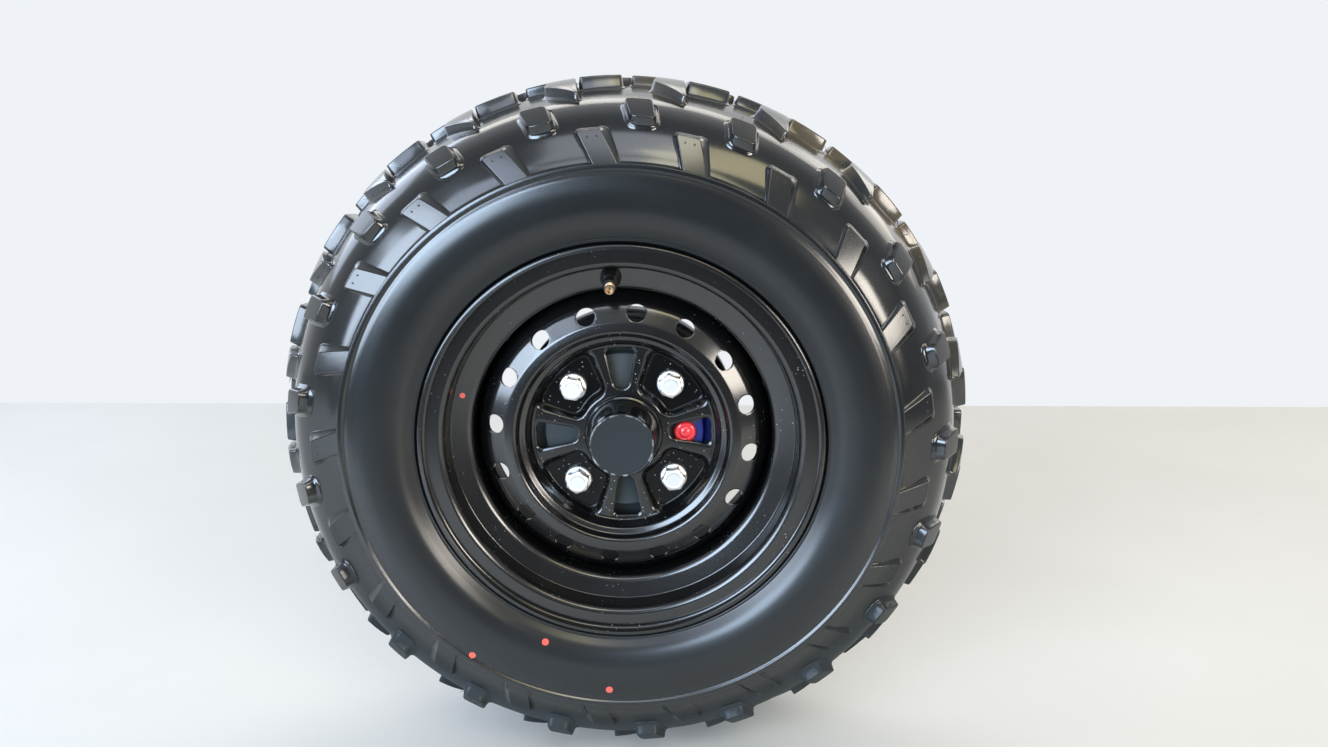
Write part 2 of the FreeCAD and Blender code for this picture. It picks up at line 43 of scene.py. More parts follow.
BARREL_PATH = [(0.0, 152.8, 0.0), (0.0, 156.4, 2.6), (10.4, 156.4, 7.0), (10.4, 139.7, 3.2),
               (28.5, 138.2, 3.5), (31.5, 121.0, 3.5), (96.0, 121.0, 6.0), (131.5, 138.2, 3.0),
               (149.6, 139.7, 3.2), (149.6, 156.4, 7.0), (160.0, 156.4, 2.6), (160.0, 152.8, 0.0)]
BARREL_SHEET, BARREL_STATIONS = 2.3, 192


def at(d, r, angle=0.0):
    """Metres, from d mm inboard of the lip and r mm from the axle, turned clockwise from the top."""
    a = math.radians(angle)
    return Vector((r * math.sin(a) / 1000.0, LIP_Y + d / 1000.0, AXLE_Z + r * math.cos(a) / 1000.0))


def rounded(rows, closed=True, steps=6):
    """Points of a path through rows of (d, r, corner radius) in mm."""
    points, count = [], len(rows)
    for i, row in enumerate(rows):
        here, radius = Vector(row[:2]), (row[2] if len(row) > 2 else 0.0)
        if radius <= 0.0 or (not closed and i in (0, count - 1)):
            points.append(here)
            continue
        back = Vector(rows[i - 1][:2]) - here
        ahead = Vector(rows[(i + 1) % count][:2]) - here
        half = back.angle(ahead) / 2.0
        most = 0.49 * min(back.length, ahead.length)       # two corners share a side without touching
        reach = min(radius / math.tan(half), most)
        centre = here + (back.normalized() + ahead.normalized()).normalized() * (reach / math.cos(half))
        start = here + back.normalized() * reach - centre
        sweep = start.angle_signed(here + ahead.normalized() * reach - centre)
        for k in range(steps + 1):
            turn = -sweep * k / steps
            points.append(centre + Vector((start.x * math.cos(turn) - start.y * math.sin(turn),
                                           start.x * math.sin(turn) + start.y * math.cos(turn))))
    return points


def walled(rows, thickness):
    """Closed outline of a sheet: the path, and back along it with the thickness to its right."""
    path = rounded(rows, closed=False)
    other = []
    for i, here in enumerate(path):
        ahead = path[min(i + 1, len(path) - 1)] - path[max(i - 1, 0)]
        other.append(here + Vector((ahead.y, -ahead.x)).normalized() * thickness)
    return path + other[::-1]


def skinned(mesh, rings, closed=False):
    """Faces between neighbouring rings of vertices, and from the last ring back to the first."""
    for one, two in zip(rings, rings[1:] + rings[:1]):
        for i in range(len(one) if closed else len(one) - 1):
            j = (i + 1) % len(one)
            mesh.faces.new((one[i], one[j], two[j], two[i]))


def lathe(name, outline, stations):
    """Mesh object turned about the axle from a closed outline of (d, r) points in mm."""
    mesh = bmesh.new()
    turns = [360.0 * k / stations for k in range(stations)]
    rings = [[mesh.verts.new(at(p.x, max(p.y, 0.0), turn)) for p in outline] for turn in turns]
    skinned(mesh, rings, closed=True)
    bmesh.ops.remove_doubles(mesh, verts=mesh.verts, dist=1e-6)
    return made(name, mesh)


def made(name, mesh, crease=40.0):
    """Object from a bmesh, its faces outward and smooth up to the crease angle."""
    bmesh.ops.dissolve_degenerate(mesh, edges=mesh.edges, dist=1e-7)
    bmesh.ops.recalc_face_normals(mesh, faces=mesh.faces)
    data = bpy.data.meshes.new(name)
    mesh.to_mesh(data)
    mesh.free()
    data.shade_smooth()
    data.set_sharp_from_angle(angle=math.radians(crease))
    return in_scene(name, data)


def in_scene(name, data):
    """A new object in the scene."""
    piece = bpy.data.objects.new(name, data)
    bpy.context.scene.collection.objects.link(piece)
    return piece


def linear(code):
    """sRGB hex to a linear colour with alpha."""
    values = [int(code[i:i + 2], 16) / 255.0 for i in (1, 3, 5)]
    return tuple(v / 12.92 if v <= 0.04045 else ((v + 0.055) / 1.055) ** 2.4 for v in values) + (1.0,)


def fit(node, settings=None, links=None):
    """Sets a node's attributes or inputs, and links inputs from sockets or from nodes' first outputs."""
    for key, value in (settings or {}).items():
        if isinstance(key, str) and hasattr(node, key) and key not in node.inputs:
            setattr(node, key, value)
        else:
            node.inputs[key].default_value = value
    for key, source in (links or {}).items():
        socket = source.outputs[0] if isinstance(source, bpy.types.Node) else source
        node.id_data.links.new(socket, node.inputs[key])
    return node


def add(tree, kind, settings=None, links=None):
    """One new node in the tree, with its settings and links."""
    return fit(tree.nodes.new(kind), settings, links)


def finish(name, settings=None):
    """A new material, its tree, its Principled shader with these settings, and the object coordinates."""
    material = bpy.data.materials.new(name)
    material.use_nodes = True
    tree = material.node_tree
    shader = fit(tree.nodes["Principled BSDF"], settings)
    return material, tree, shader, add(tree, "ShaderNodeTexCoord").outputs["Object"]


def dotted(tree, place, colour, dots):
    """The colour with dots of red marking paint, from rows of (turn, r, d, dot radius in metres)."""
    for angle, r, d, size in dots:
        away = add(tree, "ShaderNodeVectorMath", {"operation": "DISTANCE", 1: at(d, r, angle)}, {0: place})
        spot = add(tree, "ShaderNodeMath", {"operation": "LESS_THAN", 1: size}, {0: away.outputs["Value"]})
        colour = add(tree, "ShaderNodeMix", {"data_type": "RGBA", 7: linear("#d95a4c")},
                     {0: spot, 6: colour}).outputs[2]
    return colour


def wear(piece, material, body, slot, *nodes):
    """Puts the material on the piece, lets it ride on the body and stand for the CAD nodes."""
    piece.data.materials.clear()
    piece.data.materials.append(material)
    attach(piece, body)
    if nodes:
        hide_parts(*nodes)


# Black enamel on pressed steel: dipped and baked, glossy outside with a fine orange peel, and dull
# inside, with a little pale dust. A paint dot marks where the tyre was matched to it. Pattern scales
# are cells to the metre: a peel of 2 mm, a haze of 36 mm and specks of dust 4 mm apart.
RIM_DOTS, GLOSS_END, DULL_FROM = ((-74.4, 130.3, 29.9, 0.0032),), LIP_Y + 0.040, LIP_Y + 0.050
enamel, tree, shader, place = finish("baked_black_enamel", {"Coat IOR": 1.7, "Coat Roughness": 0.16})
peel = add(tree, "ShaderNodeTexNoise", {"Scale": 500.0, "Detail": 2.0}, {"Vector": place})
haze = add(tree, "ShaderNodeTexNoise", {"Scale": 28.0, "Detail": 4.0}, {"Vector": place})
dust = add(tree, "ShaderNodeTexVoronoi", {"Scale": 260.0, "Randomness": 1.0}, {"Vector": place})
speck = add(tree, "ShaderNodeMapRange", {"From Min": 0.06, "From Max": 0.13, "To Min": 1.0, "To Max": 0.0},
            {"Value": dust})
centred = add(tree, "ShaderNodeMapping", {"Location": (0.0, 0.0, -AXLE_Z)}, {"Vector": place})
reach = add(tree, "ShaderNodeVectorMath", {"operation": "LENGTH"}, {0: centred})
near = add(tree, "ShaderNodeMapRange", {"From Min": 0.11, "From Max": 0.13, "To Min": 0.2, "To Max": 0.0},
           {"Value": reach.outputs["Value"]})
thick = add(tree, "ShaderNodeMath", {"operation": "ADD"}, {0: haze, 1: near})
patch = add(tree, "ShaderNodeMapRange", {"From Min": 0.52, "From Max": 0.7}, {"Value": thick})
dusty = add(tree, "ShaderNodeMath", {"operation": "MULTIPLY"}, {0: speck, 1: patch})
tint = add(tree, "ShaderNodeMix", {"data_type": "RGBA", 6: linear("#0a0b0c"), 7: linear("#b4b8b6")},
           {0: dusty})
gloss = add(tree, "ShaderNodeMapRange", {"From Min": 0.3, "From Max": 0.7, "To Min": 0.26, "To Max": 0.36},
            {"Value": haze})
bump = add(tree, "ShaderNodeBump", {"Strength": 0.12, "Distance": 0.0002}, {"Height": peel})
depth = add(tree, "ShaderNodeSeparateXYZ", None, {0: place}).outputs["Y"]
outside = add(tree, "ShaderNodeMapRange",
              {"From Min": GLOSS_END, "From Max": DULL_FROM, "To Min": 1.0, "To Max": 0.0}, {"Value": depth})
sheen = add(tree, "ShaderNodeMath", {"operation": "MULTIPLY_ADD", 1: 0.1, 2: 0.02}, {0: outside})
fit(shader, None, {"Base Color": dotted(tree, place, tint.outputs[2], RIM_DOTS), "Roughness": gloss,
                   "Normal": bump, "Coat Weight": outside, "Specular IOR Level": sheen})

barrel = lathe("rim_barrel_shell", walled(BARREL_PATH, BARREL_SHEET), BARREL_STATIONS)
wear(barrel, enamel, "wheel", "black_enamel", "rim_barrel")


# Wheel disc. One round blank of 3 mm steel, pressed in steps: flange, vented shoulder, crown and the
# star of four raised lands with a window each. The nuts sit on four pads pressed between the lands.
DISC_SHEET, DISC_COLUMNS = 3.0, 360
DISC_PATH = [(42.0, 31.2, 0.0), (42.0, 74.0, 3.0), (32.5, 77.5, 3.5), (31.0, 82.5, 3.0),
             (25.0, 84.5, 3.5), (25.6, 93.5, 6.0), (31.0, 107.0, 10.0), (48.0, 118.4, 12.0),
             (78.0, 118.4, 0.0)]
STAR_R, STAR_STEP, SHOULDER_STEP = 78.0, 0.95, 3.0         # mm: the star is meshed finer than the rest
QUARTER = 90.0                              # a window at the start of each, a pad in its middle
PAD_TURN = TURN + QUARTER / 2.0
PAD_DEPTH, PAD_WALL, EDGE_SHARE = 6.0, 5.0, 0.28
PAD_EDGE = (34.5, 73.9, 27.0, 8.4)          # inner and outer radius, half angle, corner: the lands' level
PAD_FLOOR = (38.4, 71.5, 23.0, 6.0)         # and the pads' level
WINDOW_ENDS = ((37.0, 5.6), (70.0, 12.2))   # r and half width of the inner and the outer end
WINDOW_CORNER, WINDOW_CUT = 4.4, (36.0, 52.0)
WINDOW_ROLL, ROLL_SHARE = 1.5, 0.93         # radius of its rolled edge, which stops short of upright
VENTS, VENT_R, VENT_D, VENT_PITCH_R, VENT_TURN, VENT_LEAN = 16, 7.6, 27.6, 102.0, 6.5, -0.4
VENT_LIFT, VENT_STROKE = 15.0, 30.0         # how far outside the sheet a punch starts, and its travel
NUT_PITCH_R, STUD_HOLE_R, STUD_HOLE_D, STUD_HOLE_DEEP = 55.0, 6.0, 44.0, 12.0
HOLE_EDGE, HOLE_EDGE_ANGLE = 0.0006, 50.0   # edges that the punches leave round


def outside_corner(across, along, corner):
    """Distance in mm outside a rounded box, from how far past its corners' centres a place is."""
    return math.hypot(max(across, 0.0), max(along, 0.0)) + min(max(across, along), 0.0) - corner


def outside_sector(r, angle, centre, sector):
    """Distance in mm outside a rounded ring sector, negative inside it."""
    r_in, r_out, half, corner = sector
    off = (angle - centre + 180.0) % 360.0 - 180.0
    across = (abs(math.radians(off)) - math.radians(half)) * r + corner
    return outside_corner(across, abs(r - (r_in + r_out) / 2.0) - (r_out - r_in) / 2.0 + corner, corner)


def outside_window(r, angle):
    """Distance in mm outside the nearest window, whose sides are straight and its corners round."""
    off = math.radians((angle - TURN + QUARTER / 2.0) % QUARTER - QUARTER / 2.0)
    u, v = abs(r * math.sin(off)), r * math.cos(off)
    (r_in, half_in), (r_out, half_out) = WINDOW_ENDS
    lean = (half_out - half_in) / (r_out - r_in)
    side = (u - half_in - lean * (v - r_in)) / math.hypot(1.0, lean) + WINDOW_CORNER
    end = abs(v - (r_in + r_out) / 2.0) - (r_out - r_in) / 2.0 + WINDOW_CORNER
    return outside_corner(side, end, WINDOW_CORNER)


def pressed(r, angle):
    """How far the punches pushed the sheet in at this place."""
    turn = PAD_TURN + QUARTER * round((angle - PAD_TURN) / QUARTER)
    edge, floor = outside_sector(r, angle, turn, PAD_EDGE), outside_sector(r, angle, turn, PAD_FLOOR)
    if edge > 0.0:
        share = -edge / PAD_WALL
    elif floor < 0.0:
        share = 1.0 - floor / PAD_WALL
    else:
        share = edge / (edge - floor)
    if share < EDGE_SHARE:
        low = min(max(share + EDGE_SHARE, 0.0), 2 * EDGE_SHARE)
        share = low * low / (4 * EDGE_SHARE)
    elif share > 1.0 - EDGE_SHARE:
        high = min(max(1 + EDGE_SHARE - share, 0.0), 2 * EDGE_SHARE)
        share = 1.0 - high * high / (4 * EDGE_SHARE)
    near = min(max(WINDOW_ROLL - outside_window(r, angle), 0.0), WINDOW_ROLL * ROLL_SHARE)
    return PAD_DEPTH * share + WINDOW_ROLL - math.sqrt(WINDOW_ROLL ** 2 - near ** 2)


def circle(side, other, r, half):
    """Points r mm around the origin in the plane of two unit vectors, so many to half a turn."""
    turns = [k * math.pi / half for k in range(2 * half)]
    return [(side * math.cos(turn) + other * math.sin(turn)) * r / 1000.0 for turn in turns]


def prism(mesh, points_low, points_high):
    """Closed prism between two rings of points."""
    low = [mesh.verts.new(p) for p in points_low]
    high = [mesh.verts.new(p) for p in points_high]
    for i in range(len(low)):
        j = (i + 1) % len(low)
        mesh.faces.new((low[i], low[j], high[j], high[i]))
    mesh.faces.new(low[::-1])
    mesh.faces.new(high)


def applied(piece):
    """The piece with what its modifiers make of it as its plain mesh."""
    bpy.context.view_layer.update()
    result = bpy.data.meshes.new_from_object(piece.evaluated_get(bpy.context.evaluated_depsgraph_get()))
    piece.modifiers.clear()
    piece.data = result
    return piece


path = rounded(DISC_PATH, closed=False)
fine = [path[0]]
for a, b in zip(path, path[1:]):
    parts = max(1, math.ceil((b - a).length / (STAR_STEP if a.y < STAR_R else SHOULDER_STEP)))
    fine += [a.lerp(b, (k + 1) / parts) for k in range(parts)]
disc_mesh = bmesh.new()
grid = []
for k in range(DISC_COLUMNS):
    angle = 360.0 * k / DISC_COLUMNS
    grid.append([disc_mesh.verts.new(at(p.x + pressed(p.y, angle), p.y, angle)) for p in fine])
skinned(disc_mesh, grid)
disc = made("wheel_disc_pressing", disc_mesh, crease=180.0)
if disc.data.polygons[len(fine) // 4].normal.y > 0.0:       # an open sheet can come out facing inboard
    disc.data.flip_normals()
solid = disc.modifiers.new("sheet", "SOLIDIFY")
solid.thickness, solid.offset = DISC_SHEET / 1000.0, -1.0

punches = bmesh.new()
for vent in range(VENTS):
    turn = VENT_TURN + vent * 360.0 / VENTS
    start = at(VENT_D - VENT_LIFT, VENT_PITCH_R - VENT_LIFT * VENT_LEAN, turn)
    axis = (at(VENT_D, VENT_PITCH_R, turn) - start).normalized()
    side = axis.cross(at(0.0, 1.0, turn + 90.0) - at(0.0, 0.0)).normalized()
    ring = circle(side, axis.cross(side), VENT_R, 20)
    prism(punches, [start + v for v in ring], [start + axis * (VENT_STROKE / 1000.0) + v for v in ring])
(r_in, half_in), (r_out, half_out) = WINDOW_ENDS
window = rounded([(-half_in, r_in, WINDOW_CORNER), (half_in, r_in, WINDOW_CORNER),
                  (half_out, r_out, WINDOW_CORNER), (-half_out, r_out, WINDOW_CORNER)], steps=8)
for quarter in range(4):
    turn = TURN + quarter * QUARTER
    prism(punches, *([at(d, p.length, math.degrees(math.atan2(p.x, p.y)) + turn) for p in window]
                     for d in WINDOW_CUT))
    ring = circle(Vector((1.0, 0.0, 0.0)), Vector((0.0, 0.0, 1.0)), STUD_HOLE_R, 16)
    prism(punches, *([at(d, NUT_PITCH_R, turn + QUARTER / 2.0) + v for v in ring]
                     for d in (STUD_HOLE_D, STUD_HOLE_D + STUD_HOLE_DEEP)))
cutter = made("disc_punches", punches, crease=30.0)
cut = disc.modifiers.new("holes", "BOOLEAN")
cut.operation, cut.solver, cut.object = "DIFFERENCE", "EXACT", cutter
soften = disc.modifiers.new("rolled_edges", "BEVEL")
soften.width, soften.segments = HOLE_EDGE, 2
soften.limit_method, soften.angle_limit = "ANGLE", math.radians(HOLE_EDGE_ANGLE)
applied(disc)
disc.data.shade_smooth()
disc.data.set_sharp_from_angle(angle=math.radians(45.0))
bpy.data.objects.remove(cutter)
wear(disc, enamel, "wheel", "black_enamel", "wheel_disc")


# Tyre. Moulded rubber over a cord carcass, bead to bead, with a thin ring and bars on each
# sidewall, knobs at the shoulder and two rows of lugs a side. The pattern repeats 21 times.
PITCHES, MID_D, TYRE_STATIONS = 21, 80.0, 168
SIDEWALL = [(28.0, 139.3, 0.0), (12.0, 140.6, 2.0), (10.9, 157.0, 1.0), (4.5, 157.2, 1.0), (2.4, 158.6, 0.8),
            (2.2, 160.6, 1.5), (-3.5, 168.0, 70.0), (-7.4, 181.0, 99.0), (-9.0, 196.0, 99.0),
            (-8.4, 206.0, 20.0), (-7.4, 209.2, 1.2), (-8.9, 210.8, 0.9), (-8.9, 213.9, 0.8),
            (-5.0, 215.4, 0.9), (-2.7, 222.4, 60.0), (4.6, 238.2, 60.0), (12.6, 249.6, 60.0),
            (22.0, 256.8, 60.0), (36.0, 262.0, 99.0), (58.0, 267.8, 99.0), (80.0, 269.4, 0.0)]
AIR_SIDE = [(80.0, 258.0, 0.0), (54.0, 257.0, 30.0), (23.0, 246.5, 20.0), (4.5, 221.0, 20.0),
            (0.5, 190.0, 20.0), (26.0, 150.0, 8.0), (29.5, 140.5, 1.0)]
SHOULDER_FROM_R = 213.0
half_tyre = rounded(SIDEWALL, closed=False, steps=4)
half_air = rounded(AIR_SIDE, closed=False, steps=3)
outline = half_tyre[:-1] + [Vector((2 * MID_D - p.x, p.y)) for p in half_tyre[::-1]]
outline += [Vector((2 * MID_D - p.x, p.y)) for p in half_air[:0:-1]] + half_air
carcass = lathe("tyre_carcass", outline, TYRE_STATIONS)
shoulder = [p for p in half_tyre if p.y > SHOULDER_FROM_R]


def carcass_r(d):
    """Radius of the carcass from the raised ring to the crown at a depth."""
    d = min(d, 2 * MID_D - d)
    for a, b in zip(shoulder, shoulder[1:]):
        if d <= b.x:
            return a.y + (b.y - a.y) * (d - a.x) / max(b.x - a.x, 1e-6)
    return shoulder[-1].y


# Each lug: four corners of its top as (angle, d), seen from outside as inner left, inner right, outer
# right, outer left; the (d, r) where its top starts and ends and its bulge between them; corner
# radius, edge radius, foot fillet; how far its inner, right, outer and left walls lean; how worn its
# top is, which also greys the top as a painted sheen.
LUGS = {
    "sidewall_bar": (((-4.3, -8.8), (0.3, -8.8), (-2.9, 0.0), (-7.0, 0.0)),
                     ((-8.8, 211.6), (0.0, 237.6), 0.4), 2.0, 0.35, 1.1, (0.1, 1.25, 0.5, 0.6), 0.3),
    "shoulder_knob": (((2.3, 0.8), (6.2, 0.8), (5.4, 13.8), (1.0, 13.8)),
                      ((0.8, 246.7), (13.8, 259.6), 0.3), 3.4, 0.7, 2.4, (0.25, 0.25, 0.2, 0.22), 1.0),
    "shoulder_lug": (((5.1, 46.0), (10.6, 25.5), (9.9, 62.0), (5.5, 62.0)),
                     ((25.0, 264.4), (62.0, 276.9), 2.0), 3.0, 0.7, 2.0, (0.2, 0.12, 0.1, 0.12), 1.0),
    "centre_lug": (((-6.5, 54.0), (0.1, 57.0), (-0.6, 92.0), (-7.0, 92.0)),
                   ((54.0, 276.9), (92.0, 277.0), 0.35), 2.5, 0.7, 2.0, (0.2, 0.12, 0.1, 0.12), 1.0),
}
CORNER_SHARES, EDGE_STEPS, TOP_RINGS = (0.0, 0.33, 0.67, 1.0), 3, (0.8, 0.45)
WALL_MOST, WALL_LEAST, ROOT, TOP_INSET, HALVINGS = 0.030, 0.0022, 0.0012, 0.0003, 22       # metres
ARC, FLARE_OVER, EDGE_OVER = 0.3, 1.1, 1.6      # a round's middle point, and how far past it bands reach
WEAR_AND_SHEEN_SHARE = (0.1, 0.1, 0.2, 0.5, 0.6, 1.0, 1.0, 1.0, 1.0, 1.0)          # from the foot to the middle
HAIRY_BAND, BALD_COLUMNS = 3, (4, 5, 6)         # hairs grow on the walls, not on the one nearest the axle
PIN_SPOTS, PIN_R, PIN_HIGH, PIN_ROOT = ((-5.3, -1.6), (-3.6, -1.6)), 0.7, 0.0005, 0.0006
ANY_R = 250.0                                   # on_top finds the true radius
pattern = bmesh.new()
top_layer = pattern.faces.layers.float.new("lug_top")
hair_layer = pattern.faces.layers.float.new("hairy")


def mirrored(d, side):
    """The depth itself on the outer side, 0, and its mirror on the inner side, 1."""
    return d if side == 0 else 2 * MID_D - d


def on_top(p, side, top_line):
    """The point of a lug's top with the angle and depth of p."""
    (d_in, r_in), (d_out, r_out), bulge = top_line
    d = (p.y - LIP_Y) * 1000.0
    share = (mirrored(d, side) - d_in) / (d_out - d_in)
    r = r_in + (r_out - r_in) * share + bulge * 4.0 * share * (1.0 - share)
    return at(d, r, math.degrees(math.atan2(p.x, p.z - AXLE_Z)))


def lug_edge(top, normals, corner_r, leans, side, top_line):
    """Points around a lug's top with round corners, each with its way out and its wall's lean."""
    edge = []
    for i in range(4):
        back, ahead = top[i - 1] - top[i], top[(i + 1) % 4] - top[i]
        start = top[i] + back.normalized() * corner_r / 1000.0
        end = top[i] + ahead.normalized() * corner_r / 1000.0
        for t in CORNER_SHARES:
            spot = start.lerp(top[i], t).lerp(top[i].lerp(end, t), t)
            edge.append((on_top(spot, side, top_line), normals[i - 1].lerp(normals[i], t).normalized(),
                         leans[i - 1] + (leans[i] - leans[i - 1]) * t))
        stop = top[(i + 1) % 4] - ahead.normalized() * corner_r / 1000.0
        for k in range(1, EDGE_STEPS):
            edge.append((on_top(end.lerp(stop, k / EDGE_STEPS), side, top_line), normals[i], leans[i]))
    return edge


def lug_section(tip, out, inward, lean, edge, fillet):
    """One section of a lug from its root in the carcass over the fillet and the wall to its top."""
    wall = (inward + out * lean).normalized()
    low, high = 0.0, WALL_MOST
    for step in range(HALVINGS):
        reach = (low + high) / 2.0
        probe = tip + wall * reach
        outside = math.hypot(probe.x, probe.z - AXLE_Z) * 1000.0 > carcass_r((probe.y - LIP_Y) * 1000.0)
        low, high = (reach, high) if outside else (low, reach)
    low = max(low, WALL_LEAST)
    foot = tip + wall * low
    flare = min(fillet, low * 0.5)
    return (foot + out * flare * FLARE_OVER + inward * ROOT, foot + out * flare,
            foot + out * flare * ARC - wall * flare * ARC, foot - wall * flare,
            tip + wall * edge * EDGE_OVER, tip + wall * edge,
            tip + wall * edge * ARC - out * edge * ARC, tip - out * edge, tip - out * (edge + TOP_INSET))


def lug(name, side, corners, top_line, corner_r, edge_r, fillet, leans, wear_and_painted_sheen):
    """Adds one lug to the pattern on the outer side, 0, or half a pitch on, on the inner side, 1."""
    turn = side * 180.0 / PITCHES
    top = [on_top(at(mirrored(d, side), ANY_R, a + turn), side, top_line) for a, d in corners]
    middle = on_top(sum(top, Vector()) / 4.0, side, top_line)
    inward = (top[2] - top[0]).cross(top[3] - top[1]).normalized()
    if inward.dot(at(MID_D, 0.0) - middle) < 0.0:
        inward = -inward
    normals = [(top[(i + 1) % 4] - top[i]).cross(inward).normalized() for i in range(4)]
    if normals[0].dot(top[0] - middle) < 0.0:
        normals = [-n for n in normals]
    sections = [lug_section(p, out, inward, lean, edge_r / 1000.0, fillet / 1000.0)
                for p, out, lean in lug_edge(top, normals, corner_r, leans, side, top_line)]
    rings = [[pattern.verts.new(p) for p in loop] for loop in zip(*sections)]
    for share in TOP_RINGS:
        rings.append([pattern.verts.new(on_top(middle.lerp(section[-1], share), side, top_line))
                      for section in sections])
    for level, (one, two) in enumerate(zip(rings, rings[1:])):
        for i in range(len(one)):
            j = (i + 1) % len(one)
            face = pattern.faces.new((one[i], one[j], two[j], two[i]))
            face[top_layer] = wear_and_painted_sheen * WEAR_AND_SHEEN_SHARE[level]
            hairy = level == HAIRY_BAND and name != "sidewall_bar" and i not in BALD_COLUMNS
            face[hair_layer] = 1.0 if hairy else 0.0
    hub = pattern.verts.new(middle)
    for i in range(len(sections)):
        face = pattern.faces.new((rings[-1][i], rings[-1][(i + 1) % len(sections)], hub))
        face[top_layer] = wear_and_painted_sheen
    pattern.faces.new(rings[0][::-1])
    for a, d in (PIN_SPOTS if name == "sidewall_bar" else ()):       # pins where air left the mould
        spot = on_top(at(mirrored(d, side), ANY_R, a + turn), side, top_line)
        u = (top[1] - top[0]).normalized()
        ring = circle(u, inward.cross(u), PIN_R, 4)
        prism(pattern, *([spot + w + inward * lift for w in ring] for lift in (PIN_ROOT, -PIN_HIGH)))


for name, values in LUGS.items():
    for side in (0, 1):
        lug(name, side, *values)
pitch = made("tyre_pitch", pattern, crease=180.0)


def grown(piece, tree, inputs):
    """The piece after a Geometry Nodes tree with these inputs, its mesh a plain one."""
    modifier = piece.modifiers.new("repeat", "NODES")
    modifier.node_group = tree
    for item in tree.interface.items_tree:
        if item.item_type == "SOCKET" and item.in_out == "INPUT" and item.name in inputs:
            modifier[item.identifier] = inputs[item.name]
    return applied(piece)


def begun(name, sizes):
    """A Geometry Nodes tree with geometry in and out and named inputs, and the sockets they come from."""
    tree = bpy.data.node_groups.new(name, "GeometryNodeTree")
    tree.interface.new_socket("Geometry", in_out="INPUT", socket_type="NodeSocketGeometry")
    for label, kind in sizes:
        tree.interface.new_socket(label, in_out="INPUT", socket_type=kind)
    tree.interface.new_socket("Geometry", in_out="OUTPUT", socket_type="NodeSocketGeometry")
    return tree, add(tree, "NodeGroupInput").outputs


def ended(tree, instances, material):
    """The tree with its end: the instances made real, in their material, to the output."""
    real = add(tree, "GeometryNodeRealizeInstances", None, {"Geometry": instances})
    dressed = add(tree, "GeometryNodeSetMaterial", {"Material": material}, {"Geometry": real})
    add(tree, "NodeGroupOutput", None, {"Geometry": dressed})
    return tree


def repeat_tree(name, material):
    """A tree that turns its geometry about the axle, with the count and the first turn as inputs."""
    tree, start = begun(name, (("Count", "NodeSocketInt"), ("First turn", "NodeSocketFloat"),
                               ("Axle height", "NodeSocketFloat")))
    up = add(tree, "ShaderNodeCombineXYZ", None, {"Z": start["Axle height"]})
    down = add(tree, "ShaderNodeVectorMath", {"operation": "SCALE", "Scale": -1.0}, {0: up})
    centred = add(tree, "GeometryNodeTransform", None, {"Geometry": start["Geometry"], "Translation": down})
    spots = add(tree, "GeometryNodeMeshLine", {"Offset": (0.0, 0.0, 0.0)},
                {"Count": start["Count"], "Start Location": up})
    index = add(tree, "GeometryNodeInputIndex")
    share = add(tree, "ShaderNodeMath", {"operation": "DIVIDE"}, {0: index, 1: start["Count"]})
    turn = add(tree, "ShaderNodeMath", {"operation": "MULTIPLY_ADD", 1: 2.0 * math.pi},
               {0: share, 2: start["First turn"]})
    about = add(tree, "ShaderNodeCombineXYZ", None, {"Y": turn})
    placed = add(tree, "GeometryNodeInstanceOnPoints", None,
                 {"Points": spots, "Instance": centred, "Rotation": about})
    return ended(tree, placed, material)


# Tyre rubber: carbon black compound, with a wet gleam where the mould was smooth and dull beside the
# bead. Lug tops are grained and greyer the more they are worn, and that grey is also a painted sheen
# standing for light reflected from above. The tyre's foot is scuffed dry, and brown dust clings to the
# upper rear shoulder. Scales: a grain of 1.1 mm, a bloom of 71 mm.
TYRE_DOTS = ((-158.9, 170.9, -4.9, 0.0028), (-144.8, 207.5, -8.0, 0.0028), (-176.9, 199.4, -8.9, 0.0028))
rubber, tree, shader, place = finish("moulded_tyre_rubber", {"Coat IOR": 1.72, "Specular IOR Level": 0.15})
grain = add(tree, "ShaderNodeTexNoise", {"Scale": 900.0, "Detail": 3.0}, {"Vector": place})
bloom = add(tree, "ShaderNodeTexNoise", {"Scale": 14.0, "Detail": 5.0, "Roughness": 0.6}, {"Vector": place})
lug_top = add(tree, "ShaderNodeAttribute", {"attribute_name": "lug_top"}).outputs["Fac"]
tint = add(tree, "ShaderNodeMix", {"data_type": "RGBA", 6: linear("#0a0d0f"), 7: linear("#12171a")},
           {0: bloom})
flat = add(tree, "ShaderNodeMapping", {"Location": (0.0, 0.0, -AXLE_Z), "Scale": (1.0, 0.0, 1.0)},
           {"Vector": place})
lie = add(tree, "ShaderNodeSeparateXYZ", None, {0: flat}).outputs
upper = add(tree, "ShaderNodeMath", {"operation": "MULTIPLY_ADD", 1: 0.8}, {0: lie["X"], 2: lie["Z"]})
reach = add(tree, "ShaderNodeVectorMath", {"operation": "LENGTH"}, {0: flat}).outputs["Value"]
tread = add(tree, "ShaderNodeMapRange", {"From Min": 0.250, "From Max": 0.268, "To Max": 0.5},
            {"Value": reach})
foot = add(tree, "ShaderNodeMapRange", {"From Min": -0.04, "From Max": -0.17, "To Max": 0.7},
           {"Value": lie["Z"]})
edge = add(tree, "ShaderNodeMapRange", {"From Min": 0.222, "From Max": 0.240}, {"Value": reach})
scuffed = add(tree, "ShaderNodeMath", {"operation": "MULTIPLY"}, {0: foot, 1: edge})
rubbed = add(tree, "ShaderNodeMath", {"operation": "MAXIMUM"}, {0: scuffed, 1: tread})
wear_and_painted_sheen = add(tree, "ShaderNodeMath", {"operation": "MAXIMUM"}, {0: lug_top, 1: rubbed})
